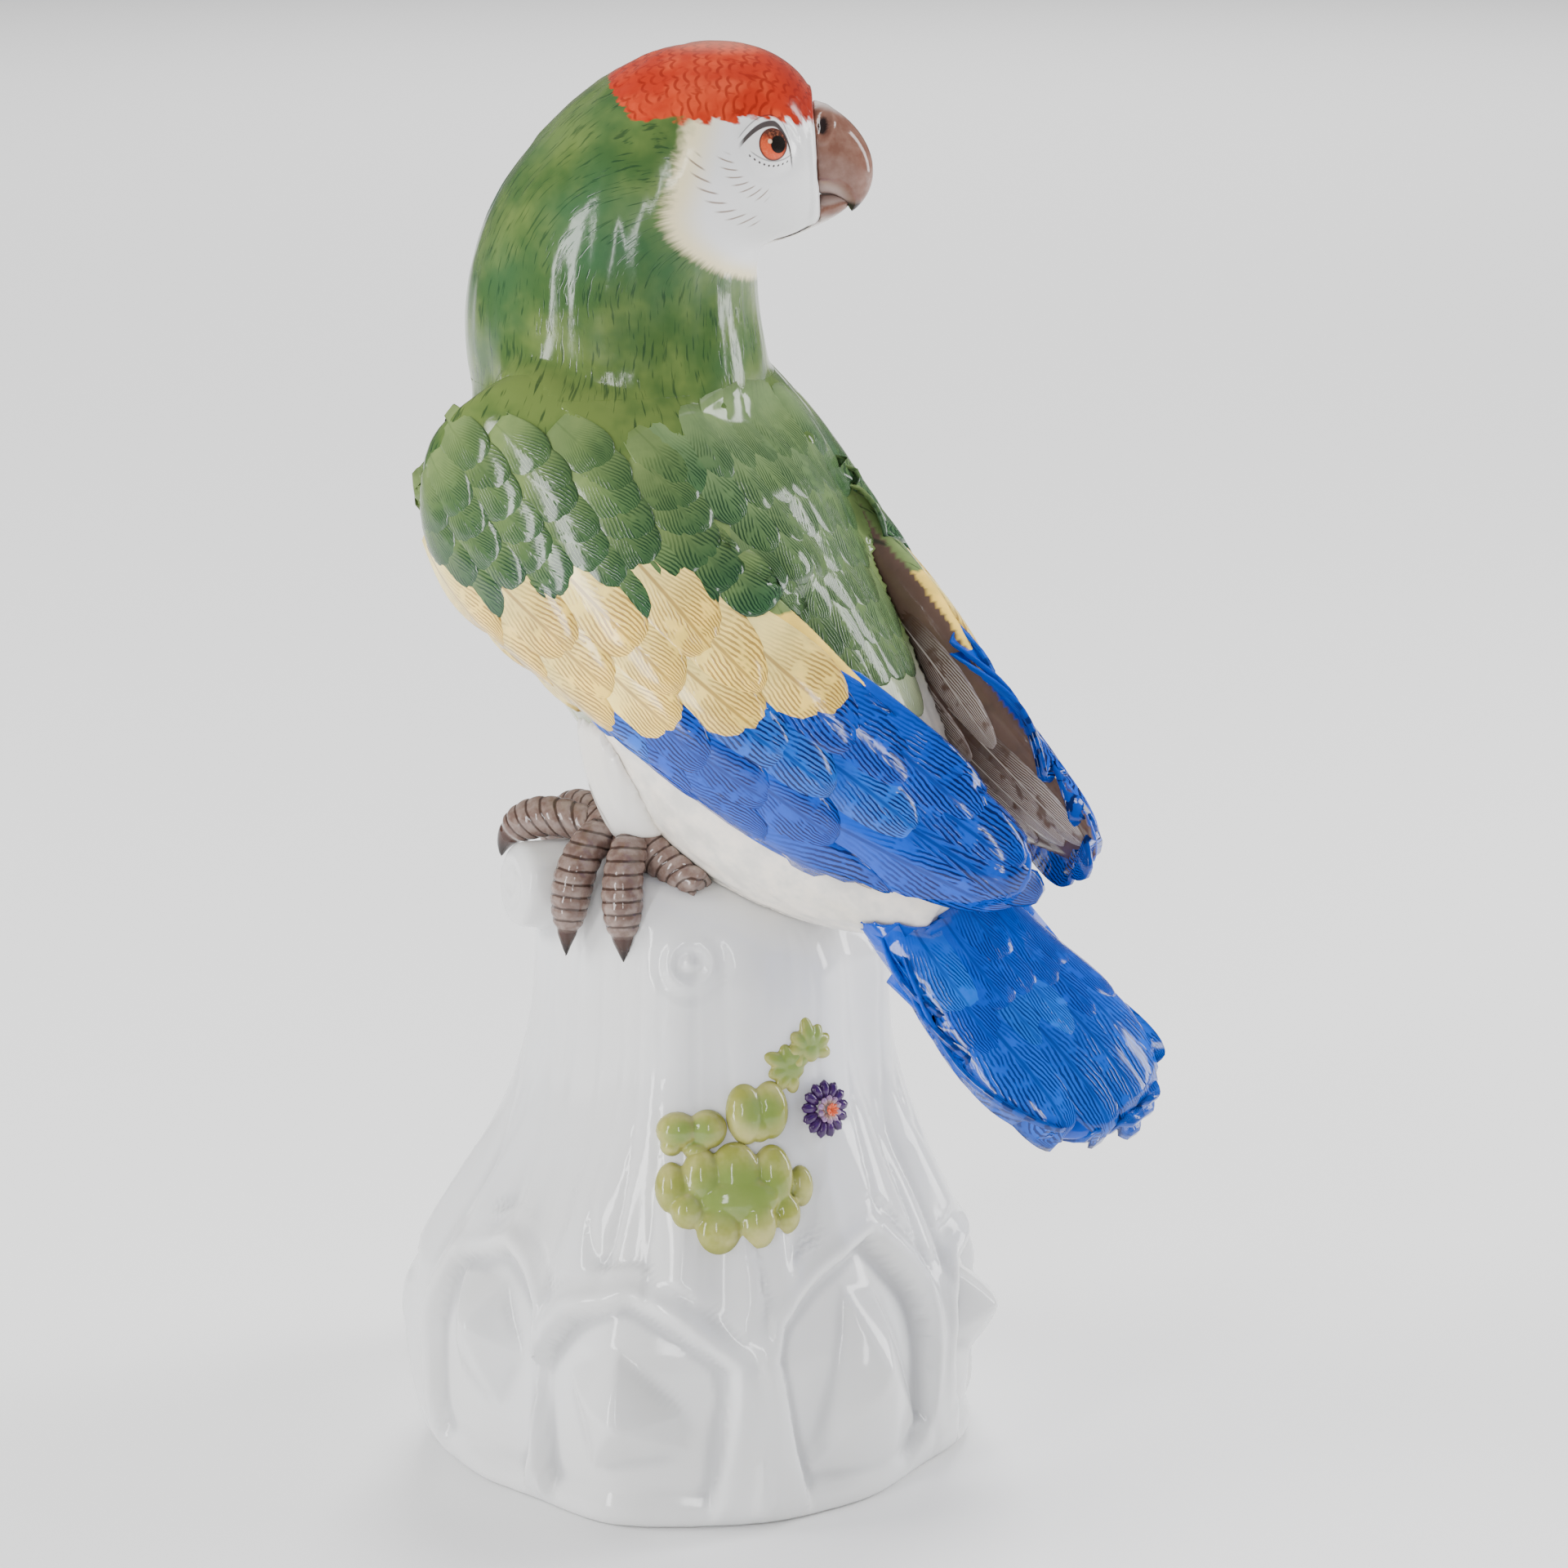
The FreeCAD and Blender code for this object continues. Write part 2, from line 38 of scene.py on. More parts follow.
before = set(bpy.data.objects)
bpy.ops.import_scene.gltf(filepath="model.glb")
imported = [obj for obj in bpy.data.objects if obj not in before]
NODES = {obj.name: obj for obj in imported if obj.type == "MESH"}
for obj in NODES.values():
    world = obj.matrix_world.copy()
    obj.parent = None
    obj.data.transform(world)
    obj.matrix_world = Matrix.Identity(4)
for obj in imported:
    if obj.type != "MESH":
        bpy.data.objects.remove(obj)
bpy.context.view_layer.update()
MM = 0.001
UP = Vector((0, 0, 1))
random.seed(7)

# ---------------------------------------------------------------- places in the frame
SEAM_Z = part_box("head")[0].z  # the head is luted to the neck at this height
HEAD_AXIS = 12.33 * MM  # the head's middle plane, which faces along +X, lies at this Y
NECK = Vector((-17.6 * MM, HEAD_AXIS, SEAM_Z))
NECK_RADIUS = 34 * MM
SKULL_FORE = 20 * MM  # the middle of the skull, in front of the neck's middle and above the seam
SKULL_HEIGHT = 38 * MM
SKULL_RADIUS = 30 * MM
YAW = math.radians(55)  # the bird's breast is turned this far from +Y
BREAST = Vector((-math.sin(YAW), math.cos(YAW), 0))
RIGHT = Vector((math.cos(YAW), math.sin(YAW), 0))

# ---------------------------------------------------------------- paints
WHITE = (0.74, 0.74, 0.735)
WARM_WHITE = (0.80, 0.765, 0.70)
CREAM = (0.95, 0.66, 0.13)
PALE_CREAM = (0.95, 0.80, 0.30)
COBALT = (0.0, 0.062, 0.50)
SKY = (0.002, 0.12, 0.66)
FOREST = (0.034, 0.095, 0.040)
OLIVE = (0.135, 0.195, 0.048)
SAGE = (0.18, 0.265, 0.11)
PALE_SAGE = (0.36, 0.43, 0.22)
QUILL_BROWN = (0.12, 0.075, 0.06)
GREEN_INK = (0.005, 0.028, 0.014)
BROWN_INK = (0.20, 0.085, 0.03)
BLUE_INK = (0.0, 0.003, 0.04)
SCUTE = 2.7  # one scale plate of a toe, in millimetres

# The painted eye, in millimetres from its centre: towards the beak, and up.
EYE = {
    "place": Vector((16.5 * MM, -10.1 * MM, 300.7 * MM)),
    "lid_top": 4.0,
    "lid_bottom": -3.95,
    "lid_back": 0.088,
    "lid_front": 0.27,
    "iris": (0.1, -0.45),
    "iris_radius": 3.45,
    "pupil": (1.15, -0.4),
    "pupil_radius": 1.85,
    "glint": (-0.9, 0.1),
    "dot_pitch": 1.15,
    "dot_drop": 1.0,
    "stroke_arcs": ((9.6, 13.4), (16.0, 19.8)),
    "stroke_slant": -14.0,
    "stroke_pitch": 2.6,
}


def mixed(a, b, share):
    return tuple(x + (y - x) * share for x, y in zip(a, b))


def smooth(value, low, high):
    """0 below low, 1 above high, smooth between; works on numbers and on arrays."""
    t = np.clip((value - low) / (high - low), 0, 1)
    return t * t * (3 - 2 * t)


# ---------------------------------------------------------------- meshes
def points_of(mesh):
    co = np.empty(len(mesh.vertices) * 3)
    mesh.vertices.foreach_get("co", co)
    return co.reshape(-1, 3)


def normals_of(mesh):
    normals = np.empty(len(mesh.vertices) * 3)
    mesh.vertex_normals.foreach_get("vector", normals)
    return normals.reshape(-1, 3)


def points_and_normals(mesh):
    return points_of(mesh), normals_of(mesh)


def set_points(mesh, co):
    mesh.vertices.foreach_set("co", co.ravel())
    mesh.update()


def tree_of(mesh):
    corners = [tuple(p.vertices) for p in mesh.polygons]
    return BVHTree.FromPolygons([v.co.copy() for v in mesh.vertices], corners)


def hand_over(name, mesh, material, slot, *nodes):
    """Makes the mesh one piece of the part, which takes the place of these CAD nodes."""
    mesh.name = name
    mesh.materials.append(material)
    mesh.shade_smooth()
    piece = bpy.data.objects.new(name, mesh)
    bpy.context.scene.collection.objects.link(piece)
    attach(piece, "root")
    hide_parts(*nodes)


def mesh_from(bm):
    mesh = bpy.data.meshes.new("work")
    bm.to_mesh(mesh)
    bm.free()
    return mesh


def with_modifiers(mesh, *settings):
    """The mesh after these modifiers, each given as (kind, {property: value})."""
    obj = bpy.data.objects.new("work", mesh)
    bpy.context.scene.collection.objects.link(obj)
    for kind, values in settings:
        modifier = obj.modifiers.new(kind, kind)
        for key, value in values.items():
            setattr(modifier, key, value)
    graph = bpy.context.evaluated_depsgraph_get()
    result = bpy.data.meshes.new_from_object(obj.evaluated_get(graph))
    bpy.data.objects.remove(obj)
    return result


def remeshed(mesh, voxel, rounds):
    """The mesh as one even skin of voxels, smoothed."""
    smoothing = {"factor": 0.5, "iterations": rounds}
    return with_modifiers(mesh, ("REMESH", {"mode": "VOXEL", "voxel_size": voxel}), ("SMOOTH", smoothing))


def largest_shell(mesh):
    """Keeps the outermost of the mesh's separate shells."""
    bm = bmesh.new()
    bm.from_mesh(mesh)
    bm.verts.ensure_lookup_table()
    seen = np.zeros(len(bm.verts), bool)
    shells = []
    for start in bm.verts:
        if seen[start.index]:
            continue
        seen[start.index] = True
        shell, stack = [start], [start]
        while stack:
            for edge in stack.pop().link_edges:
                for vert in edge.verts:
                    if not seen[vert.index]:
                        seen[vert.index] = True
                        shell.append(vert)
                        stack.append(vert)
        shells.append(shell)
    shells.sort(key=len)
    bmesh.ops.delete(bm, geom=[v for shell in shells[:-1] for v in shell], context="VERTS")
    bm.to_mesh(mesh)
    bm.free()
    return mesh


# How fine each kind of skin is: the size of its voxels in millimetres, and rounds of smoothing.
SKINS = {
    "stump": (1.05, 7),
    "bird": (0.85, 9),
    "bird with wings": (1.3, 28),
    "under feathers": (1.1, 8),
    "thigh": (0.8, 6),
    "beak": (0.5, 4),
    "foot": (0.5, 3),
}


def skin_of(nodes, kind, fillers=()):
    """One fine closed skin round these CAD nodes and fillers, smoothed like glaze over a seam."""
    voxel, rounds = SKINS[kind]
    bm = bmesh.new()
    for node in nodes:
        bm.from_mesh(NODES[node].data)
    for centre, radius in fillers:
        ball = bmesh.ops.create_icosphere(bm, subdivisions=3, radius=radius)
        bmesh.ops.translate(bm, verts=ball["verts"], vec=centre)
    return largest_shell(remeshed(mesh_from(bm), voxel * MM, rounds))


def hollow_fillers(node, start, end, count):
    """Balls that fill a hollow casting along a line, so that its skin has no inner side."""
    co = points_of(NODES[node].data)
    fillers = []
    for i in range(count):
        centre = start.lerp(end, i / (count - 1))
        away = np.linalg.norm(co - np.array(centre), axis=1)
        fillers.append((centre, max(away.min() + 2 * MM, 3 * MM)))
    return fillers


def cut_at(mesh, height, keep_above):
    """The part of a closed mesh above or below a height, closed again."""
    bm = bmesh.new()
    bm.from_mesh(mesh)
    geometry = bm.verts[:] + bm.edges[:] + bm.faces[:]
    cut = bmesh.ops.bisect_plane(
        bm,
        geom=geometry,
        plane_co=(0, 0, height),
        plane_no=UP,
        clear_inner=keep_above,
        clear_outer=not keep_above,
    )
    rim = [e for e in cut["geom_cut"] if isinstance(e, bmesh.types.BMEdge)]
    filled = bmesh.ops.contextual_create(bm, geom=rim)
    for face in filled["faces"]:
        face.smooth = False
        for edge in face.edges:
            edge.smooth = False
    return mesh_from(bm)


# ---------------------------------------------------------------- attributes for the paint
def put_colours(mesh, name, colours):
    layer = mesh.attributes.new(name, "FLOAT_COLOR", "POINT")
    rgba = np.ones((len(mesh.vertices), 4))
    rgba[:, :3] = colours
    layer.data.foreach_set("color", rgba.ravel())


def put_vectors(mesh, name, vectors):
    layer = mesh.attributes.new(name, "FLOAT_VECTOR", "POINT")
    layer.data.foreach_set("vector", np.asarray(vectors, float).ravel())


# ---------------------------------------------------------------- shader graphs
def math_method(kind, swapped=False):
    """A method that joins a Value and a number, or two Values, by one kind of Math node."""

    def joined(self, other):
        pair = (other, self) if swapped else (self, other)
        return self.graph.math(kind, *pair)

    return joined


class Value:
    """The output of a material's node. Plain arithmetic on it adds Math nodes."""

    __add__, __radd__ = math_method("ADD"), math_method("ADD", True)
    __sub__, __rsub__ = math_method("SUBTRACT"), math_method("SUBTRACT", True)
    __mul__, __rmul__ = math_method("MULTIPLY"), math_method("MULTIPLY", True)

    def __init__(self, graph, socket):
        self.graph = graph
        self.socket = socket

    def __abs__(self):
        return self.graph.math("ABSOLUTE", self)


class Graph:
    """A material's nodes, with one short method for each kind of step."""

    def __init__(self, name):
        self.material = bpy.data.materials.new(name)
        self.material.use_nodes = True
        self.nodes = self.material.node_tree.nodes
        self.links = self.material.node_tree.links
        self.shader = self.nodes["Principled BSDF"]

    def wire(self, socket, value):
        if isinstance(value, Value):
            self.links.new(value.socket, socket)
        elif isinstance(value, tuple) and len(value) == 3 and len(socket.default_value) == 4:
            socket.default_value = (*value, 1)
        else:
            socket.default_value = value

    def node(self, kind, inputs, **settings):
        """A new node with these settings; inputs gives a value for each named or numbered socket."""
        node = self.nodes.new(kind)
        for key, value in settings.items():
            setattr(node, key, value)
        for socket, value in inputs.items():
            self.wire(node.inputs[socket], value)
        return node

    def math(self, kind, *values):
        node = self.node("ShaderNodeMath", dict(enumerate(values)), operation=kind)
        return Value(self, node.outputs[0])

    def fract(self, value):
        return self.math("FRACT", value)

    def root(self, value):
        return self.math("SQRT", value)

    def most(self, a, b):
        return self.math("MAXIMUM", a, b)

    def step(self, value, low, high):
        """0 where the value is below low, 1 above high; low may be the larger of the two."""
        ends = (1.0, 0.0) if low > high else (0.0, 1.0)
        inputs = {"Value": value, "From Min": min(low, high), "From Max": max(low, high)}
        inputs.update({"To Min": ends[0], "To Max": ends[1]})
        node = self.node("ShaderNodeMapRange", inputs, interpolation_type="SMOOTHSTEP")
        return Value(self, node.outputs["Result"])

    def band(self, value, middle, wide, narrow):
        """1 within narrow of the middle, 0 further from it than wide."""
        return self.step(abs(value - middle), wide, narrow)

    def mix(self, share, a, b, blend="MIX"):
        node = self.node("ShaderNodeMix", {}, data_type="RGBA", blend_type=blend)
        for socket, value in ((0, share), (6, a), (7, b)):
            self.wire(node.inputs[socket], value)
        return Value(self, node.outputs[2])

    def attribute(self, name, output="Vector"):
        node = self.node("ShaderNodeAttribute", {}, attribute_name=name)
        return Value(self, node.outputs[output])

    def parts(self, vector):
        node = self.node("ShaderNodeSeparateXYZ", {0: vector})
        return [Value(self, output) for output in node.outputs]

    def attribute_parts(self, name):
        return self.parts(self.attribute(name))

    def vector(self, x, y, z=0.0):
        node = self.node("ShaderNodeCombineXYZ", {0: x, 1: y, 2: z})
        return Value(self, node.outputs[0])

    def place(self):
        return Value(self, self.nodes.new("ShaderNodeTexCoord").outputs["Object"])

    def noise(self, where, scale, detail=2.0, rough=0.5):
        inputs = {"Vector": where, "Scale": scale, "Detail": detail, "Roughness": rough}
        return Value(self, self.node("ShaderNodeTexNoise", inputs).outputs["Fac"])

    def grain(self, scale, detail=2.0, rough=0.5):
        """Noise over the piece itself."""
        return self.noise(self.place(), scale, detail, rough)

    def bump(self, height, strength, distance):
        node = self.node("ShaderNodeBump", {"Height": height, "Strength": strength, "Distance": distance})
        self.links.new(node.outputs[0], self.shader.inputs["Normal"])

    def glaze(self, colour, rough=0.09):
        """A fired glaze: clear hard gloss over the colour, gathered in places and faintly uneven."""
        shader = self.shader.inputs
        self.wire(shader["Base Color"], colour)
        pool = self.grain(90.0, 3.0)
        self.wire(shader["Roughness"], rough - 0.03 + pool * 0.06)
        shader["IOR"].default_value = 1.5
        return self.material


def white_glaze(name, tint=WHITE):
    g = Graph(name)
    # a random blue-white tint of unevenly laid glaze
    pooled_tint_and_hollow_shade = g.grain(35.0, 4.0)
    # painted shade: how deep each point lies in a hollow, taken from the mesh's curvature
    hollow = g.attribute_parts("pooled_tint_and_hollow_shade")[0]
    specks = g.step(g.grain(900.0, 1.0), 0.79, 0.82)
    colour = g.mix(g.step(pooled_tint_and_hollow_shade, 0.35, 0.7), tint, mixed(tint, (0.80, 0.83, 0.88), 0.25))
    # painted shade: hollows darkened to grey, with a faint blue-grey tint of glaze gathered there
    colour = g.mix(hollow * 0.8, colour, (0.5, 0.505, 0.52))
    colour = g.mix(specks * 0.12, colour, (0.45, 0.4, 0.34))
    g.bump(g.grain(160.0, 3.0), 0.05, 0.0006)
    return g.glaze(colour)


def fine_strokes(g, flow, dense, sparse, low, high):
    """Hairline brush strokes that run along the flow's second coordinate."""
    across, along, _ = g.parts(flow)
    sway = g.noise(g.vector(across, along), 60.0, 2.0)
    stretched = g.vector((across + sway * 0.004) * dense, along * sparse)
    return g.step(g.noise(stretched, 1.0, 2.0, 0.6), low, high)


def clouded_green(g, where):
    """The brushed greens of the nape and mantle, olive over blue-green."""
    cloud = g.noise(where, 38.0, 4.0, 0.6)
    green = g.mix(g.step(cloud, 0.38, 0.62), (0.045, 0.10, 0.026), OLIVE)
    cool = g.step(g.noise(where, 17.0, 2.0), 0.5, 0.66)
    return g.mix(cool * 0.55, green, (0.035, 0.115, 0.06))


def plumage_glaze():
    """Paint on feathers: the colour laid down, then barbs and a shaft drawn with a fine brush.

    quill holds (place along the feather, place across it, its own chance number), and mark holds
    (strength of the barbs, strength of the shaft, strength of fine strokes on the bare skin)."""
    g = Graph("glazed_plumage")
    paint = g.attribute("paint", "Color")
    ink = g.attribute("ink", "Color")
    along, across, chance = g.attribute_parts("quill")
    barbs, shaft, skin = g.attribute_parts("mark")
    side = abs(across)
    wobble = (g.grain(420.0) - 0.5) * 0.09
    count = 7.5 + chance * 4.0
    rank = (along - side * 0.85 + wobble) * count
    wave = abs(g.fract(rank + chance * 9.0) - 0.5)
    broken = g.step(g.grain(230.0), 0.32, 0.46)
    line = g.step(wave, 0.29, 0.17) * broken * barbs
    line = line * g.step(side, 0.02, 0.12)
    spine = g.step(side, 0.075, 0.025) * shaft
    rim = g.step(side, 0.82, 0.98) * (barbs * 0.45)
    hair = fine_strokes(g, g.attribute("flow"), 1300.0, 150.0, 0.58, 0.67)
    cloud = g.grain(150.0, 3.0, 0.6)
    base = g.mix(g.step(cloud, 0.35, 0.75) * 0.5, paint, g.mix(1.0, paint, (1.45, 1.35, 1.25), "MULTIPLY"))
    base = g.mix(g.step(cloud, 0.55, 0.3) * 0.35, base, g.mix(0.25, paint, ink))
    nape = g.attribute_parts("flow")[2] * g.step(skin, 0.1, 0.6)
    base = g.mix(nape, base, clouded_green(g, g.place()))
    marks = g.most(g.most(line, spine), g.most(rim, hair * skin))
    colour = g.mix(marks * 0.92, base, ink)
    g.bump(line * -0.5 + g.grain(500.0) * 0.3, 0.25, 0.0003)
    return g.glaze(colour, 0.1)


def head_glaze(eye):
    """The painted head: red crown, white face, green nape, and the drawn eye.

    zone holds (how far inside the crown, how far inside the face, share of the painted highlight on
    the crown's top), in millimetres, and look holds (towards the beak, up, distance) from the nearer eye."""
    g = Graph("glazed_head")
    crown, face, crown_top_highlight = g.attribute_parts("zone")
    flow = g.attribute("flow")
    ragged = (fine_strokes(g, flow, 700.0, 160.0, 0.3, 0.7) - 0.5) * 1.9
    crown_mask = g.step(crown + ragged, -0.5, 0.5)
    face_mask = g.step(face + ragged * 0.9, -2.2, 2.2)
    hair = fine_strokes(g, flow, 1300.0, 150.0, 0.56, 0.66)
    green = g.mix(hair * 0.6, clouded_green(g, g.place()), GREEN_INK)

    across, along, _ = g.parts(flow)
    row = along * (1 / (2.4 * MM))
    shift = g.math("FLOORED_MODULO", g.math("FLOOR", row), 2.0) * 0.5
    sway = (g.grain(130.0) - 0.5) * 0.8
    x = g.fract(across * (1 / (2.9 * MM)) + shift + sway) - 0.5
    y = g.fract(row)
    arc = g.root(x * x + y * y * 0.45)
    scales = g.band(arc, 0.48, 0.14, 0.05) * g.step(y, 0.1, 0.4)
    scales = scales * g.step(g.grain(240.0), 0.36, 0.56)
    red = g.mix(g.step(g.grain(120.0, 3.0), 0.4, 0.65), (0.46, 0.028, 0.008), (0.62, 0.065, 0.02))
    red_hair = fine_strokes(g, flow, 650.0, 170.0, 0.58, 0.68)
    red = g.mix(g.most(scales * 0.8, red_hair * 0.7) * 0.75, red, (0.17, 0.006, 0.003))
    # painted highlight: the top of the crown paled
    red = g.mix(crown_top_highlight * 0.55, red, (0.86, 0.42, 0.3))
    by_beak = g.step(g.attribute_parts("look")[0], 2.5, 9.0)
    red = g.mix(by_beak * 0.5, red, (0.2, 0.008, 0.004))

    edge = g.step(face, 10.0, 1.5) * 0.85
    white = g.mix(edge, (0.80, 0.80, 0.805), (0.86, 0.74, 0.40))
    colour = g.mix(face_mask, green, white)
    colour = g.mix(crown_mask, colour, red)
    colour = draw_eye(g, colour, eye)
    g.bump(hair * -0.4 + g.grain(300.0), 0.12, 0.0004)
    return g.glaze(colour, 0.14)


def draw_eye(g, colour, eye):
    """Cheek strokes, the dotted lower lid, the iris and the pupil, in millimetres round the eye."""
    fore, rise, away = g.attribute_parts("look")
    # cheek: two arcs of short strokes, below and behind the eye
    turn = g.math("ARCTAN2", rise * -1.0, fore * -1.0)
    wave = g.fract((away - turn * eye["stroke_slant"]) * (1 / eye["stroke_pitch"]))
    strokes = g.band(wave, 0.5, 0.14, 0.05)
    arcs = 0.0
    for low, high in eye["stroke_arcs"]:
        arcs = arcs + g.step(away, low, low + 1.0) * g.step(away, high, high - 1.4)
    below = g.step(rise, -2.0, -4.0) * g.step(fore, 1.5, -0.5)
    colour = g.mix(strokes * arcs * (below * 0.85), colour, (0.2, 0.13, 0.08))

    # the opening between the lids
    sharp = eye["lid_back"] + g.step(fore, -1.0, 1.5) * (eye["lid_front"] - eye["lid_back"])
    lid_up = eye["lid_top"] - fore * fore * sharp
    lid_low = eye["lid_bottom"] + fore * fore * 0.07
    near = g.step(away, 8.4, 7.8)
    inside = g.step(lid_up - rise, -0.1, 0.15) * g.step(rise - lid_low, -0.1, 0.15)
    inside = inside * near
    colour = g.mix(inside, colour, (0.80, 0.79, 0.78))

    def disc(place):
        x = fore - place[0]
        y = rise - place[1]
        return x, y, g.root(x * x + y * y)

    x, y, iris = disc(eye["iris"])
    flame = g.mix(g.step(y + x * 0.5, 1.9, -1.6), (0.055, 0.02, 0.015), (0.66, 0.085, 0.028))
    patch = g.step(g.noise(g.vector(x, y), 1.6, 3.0), 0.45, 0.7)
    flame = g.mix(patch * 0.4, flame, (0.74, 0.2, 0.08))
    rim = eye["iris_radius"]
    flame = g.mix(g.step(iris, rim - 0.55, rim - 0.15), flame, (0.09, 0.03, 0.022))
    edge = g.step(iris, rim + 0.1, rim - 0.1)
    colour = g.mix(edge * inside, colour, flame)
    pupil = disc(eye["pupil"])[2]
    edge = g.step(pupil, eye["pupil_radius"] + 0.1, eye["pupil_radius"] - 0.1)
    colour = g.mix(edge * inside, colour, (0.008, 0.006, 0.005))
    glint = disc(eye["glint"])[2]
    colour = g.mix(g.step(glint, 0.6, 0.35) * 0.8, colour, (0.85, 0.62, 0.42))

    # upper lid line, its fold above, the thin lower line, and the dots under it
    lid = g.band(rise, lid_up - 0.1, 0.75, 0.5)
    lid = lid * near * g.step(away, 8.2, 6.4)
    fold = g.band(rise, lid_up + 1.85, 0.26, 0.1)
    fold = fold * near * g.step(rise, 0.2, 1.4)
    under = g.band(rise, lid_low, 0.24, 0.1) * near
    under = under * g.step(abs(fore), 5.4, 4.4)
    dot_x = g.fract(fore * (1 / eye["dot_pitch"])) - 0.5
    dot_y = (rise - (lid_low - eye["dot_drop"])) * (1 / eye["dot_pitch"])
    dot = g.root(dot_x * dot_x + dot_y * dot_y)
    dot = g.step(dot, 0.27, 0.17) * g.step(abs(fore), 5.6, 5.2)
    thin = g.most(under * 0.6, dot * near)
    ink = g.most(g.most(lid, fold * 0.6), thin)
    return g.mix(ink * 0.95, colour, (0.03, 0.018, 0.018))


def beak_glaze():
    """Mauve brown, with a dark nostril and dark tip, and a painted highlight where the upper beak faces up.
    """
    g = Graph("glazed_beak")
    grain = g.grain(260.0, 3.0, 0.6)
    horn = g.mix(g.step(grain, 0.35, 0.7), (0.19, 0.085, 0.06), (0.26, 0.14, 0.105))
    pale, dark, edge = g.attribute_parts("mark")
    # pale: a painted highlight on the upper beak's upward faces, and white towards the lower beak's bottom
    colour = g.mix(pale, horn, (0.86, 0.83, 0.80))
    colour = g.mix(edge, colour, (0.62, 0.50, 0.46))
    colour = g.mix(dark, colour, (0.022, 0.014, 0.014))
    g.bump(grain, 0.06, 0.0003)
    return g.glaze(colour)


def foot_glaze():
    """Grey brown with brushed dark bands; mark holds (distance from the tip in mm, claw, scales)."""
    g = Graph("glazed_feet")
    far, claw, scaled = g.attribute_parts("mark")
    grain = g.grain(330.0, 3.0, 0.6)
    sway = (g.grain(260.0) - 0.5) * 0.22
    wave = g.fract(far * (1 / SCUTE) + sway)
    band = g.band(wave, 0.5, 0.15, 0.05) * scaled
    colour = g.mix(g.step(grain, 0.35, 0.7), (0.15, 0.095, 0.078), (0.27, 0.20, 0.17))
    colour = g.mix(band * 0.85, colour, (0.035, 0.018, 0.013))
    colour = g.mix(claw, colour, g.mix(g.step(far, 1.0, 6.0), (0.010, 0.005, 0.004), (0.045, 0.018, 0.012)))
    g.bump(grain, 0.08, 0.0003)
    return g.glaze(colour)


def leaf_glaze():
    """Yellow green, deeper where the paint lies thick; mark.x is 1 in the middle of a lobe."""
    g = Graph("glazed_leaf")
    deep, vein, _ = g.attribute_parts("mark")
    cloud = g.grain(140.0, 3.0, 0.6)
    colour = g.mix(g.step(cloud, 0.35, 0.7), (0.31, 0.32, 0.06), (0.50, 0.47, 0.16))
    colour = g.mix(deep * 0.85, colour, (0.17, 0.26, 0.055))
    colour = g.mix(vein * 0.7, colour, (0.2, 0.2, 0.05))
    g.bump(cloud, 0.08, 0.0004)
    return g.glaze(colour)


def petal_glaze(name, inner, outer, ink):
    """Petals brushed outwards; mark holds (place from the middle, place round the ring)."""
    g = Graph(name)
    out, round_place, _ = g.attribute_parts("mark")
    streak = g.step(g.noise(g.vector(round_place * 30.0, out * 2.0), 1.0, 2.0), 0.48, 0.62)
    colour = g.mix(g.step(out, 0.25, 0.8), inner, outer)
    colour = g.mix(streak * 0.7, colour, ink)
    grain = g.grain(700.0)
    colour = g.mix(grain * 0.2, colour, inner)
    g.bump(grain, 0.1, 0.0003)
    return g.glaze(colour)


# ---------------------------------------------------------------- skins and feathers
class Coat:
    """The points, faces and paint of one piece: a skin and the feathers laid on it."""

    def __init__(self):
        self.points = []
        self.faces = []
        self.layers = {"paint": [], "ink": [], "quill": [], "mark": [], "flow": []}
        self.count = 0

    def add(self, points, faces, **layers):
        self.faces += [tuple(i + self.count for i in face) for face in faces]
        self.points.append(np.asarray(points, float))
        for name, rows in self.layers.items():
            value = np.asarray(layers.get(name, (0.0, 0.0, 0.0)), float)
            rows.append(np.broadcast_to(value, (len(points), 3)))
        self.count += len(points)

    def add_skin(self, mesh, **layers):
        self.add(points_of(mesh), [tuple(p.vertices) for p in mesh.polygons], **layers)

    def mesh(self):
        mesh = bpy.data.meshes.new("coat")
        mesh.from_pydata(np.concatenate(self.points).tolist(), [], self.faces)
        for layer, rows in self.layers.items():
            put = put_colours if layer in ("paint", "ink") else put_vectors
            put(mesh, layer, np.concatenate(rows))
        return mesh


def blade_width(u, tip_from):
    """Half width of a feather along its length, as a share of its widest."""
    body = 0.62 + 0.38 * np.sin(np.pi / 2 * np.clip(u / 0.6, 0, 1))
    end = np.clip((u - tip_from) / (1 - tip_from), 0, 1)
    return body * np.sqrt(np.clip(1 - end**2.2, 0.004, 1))


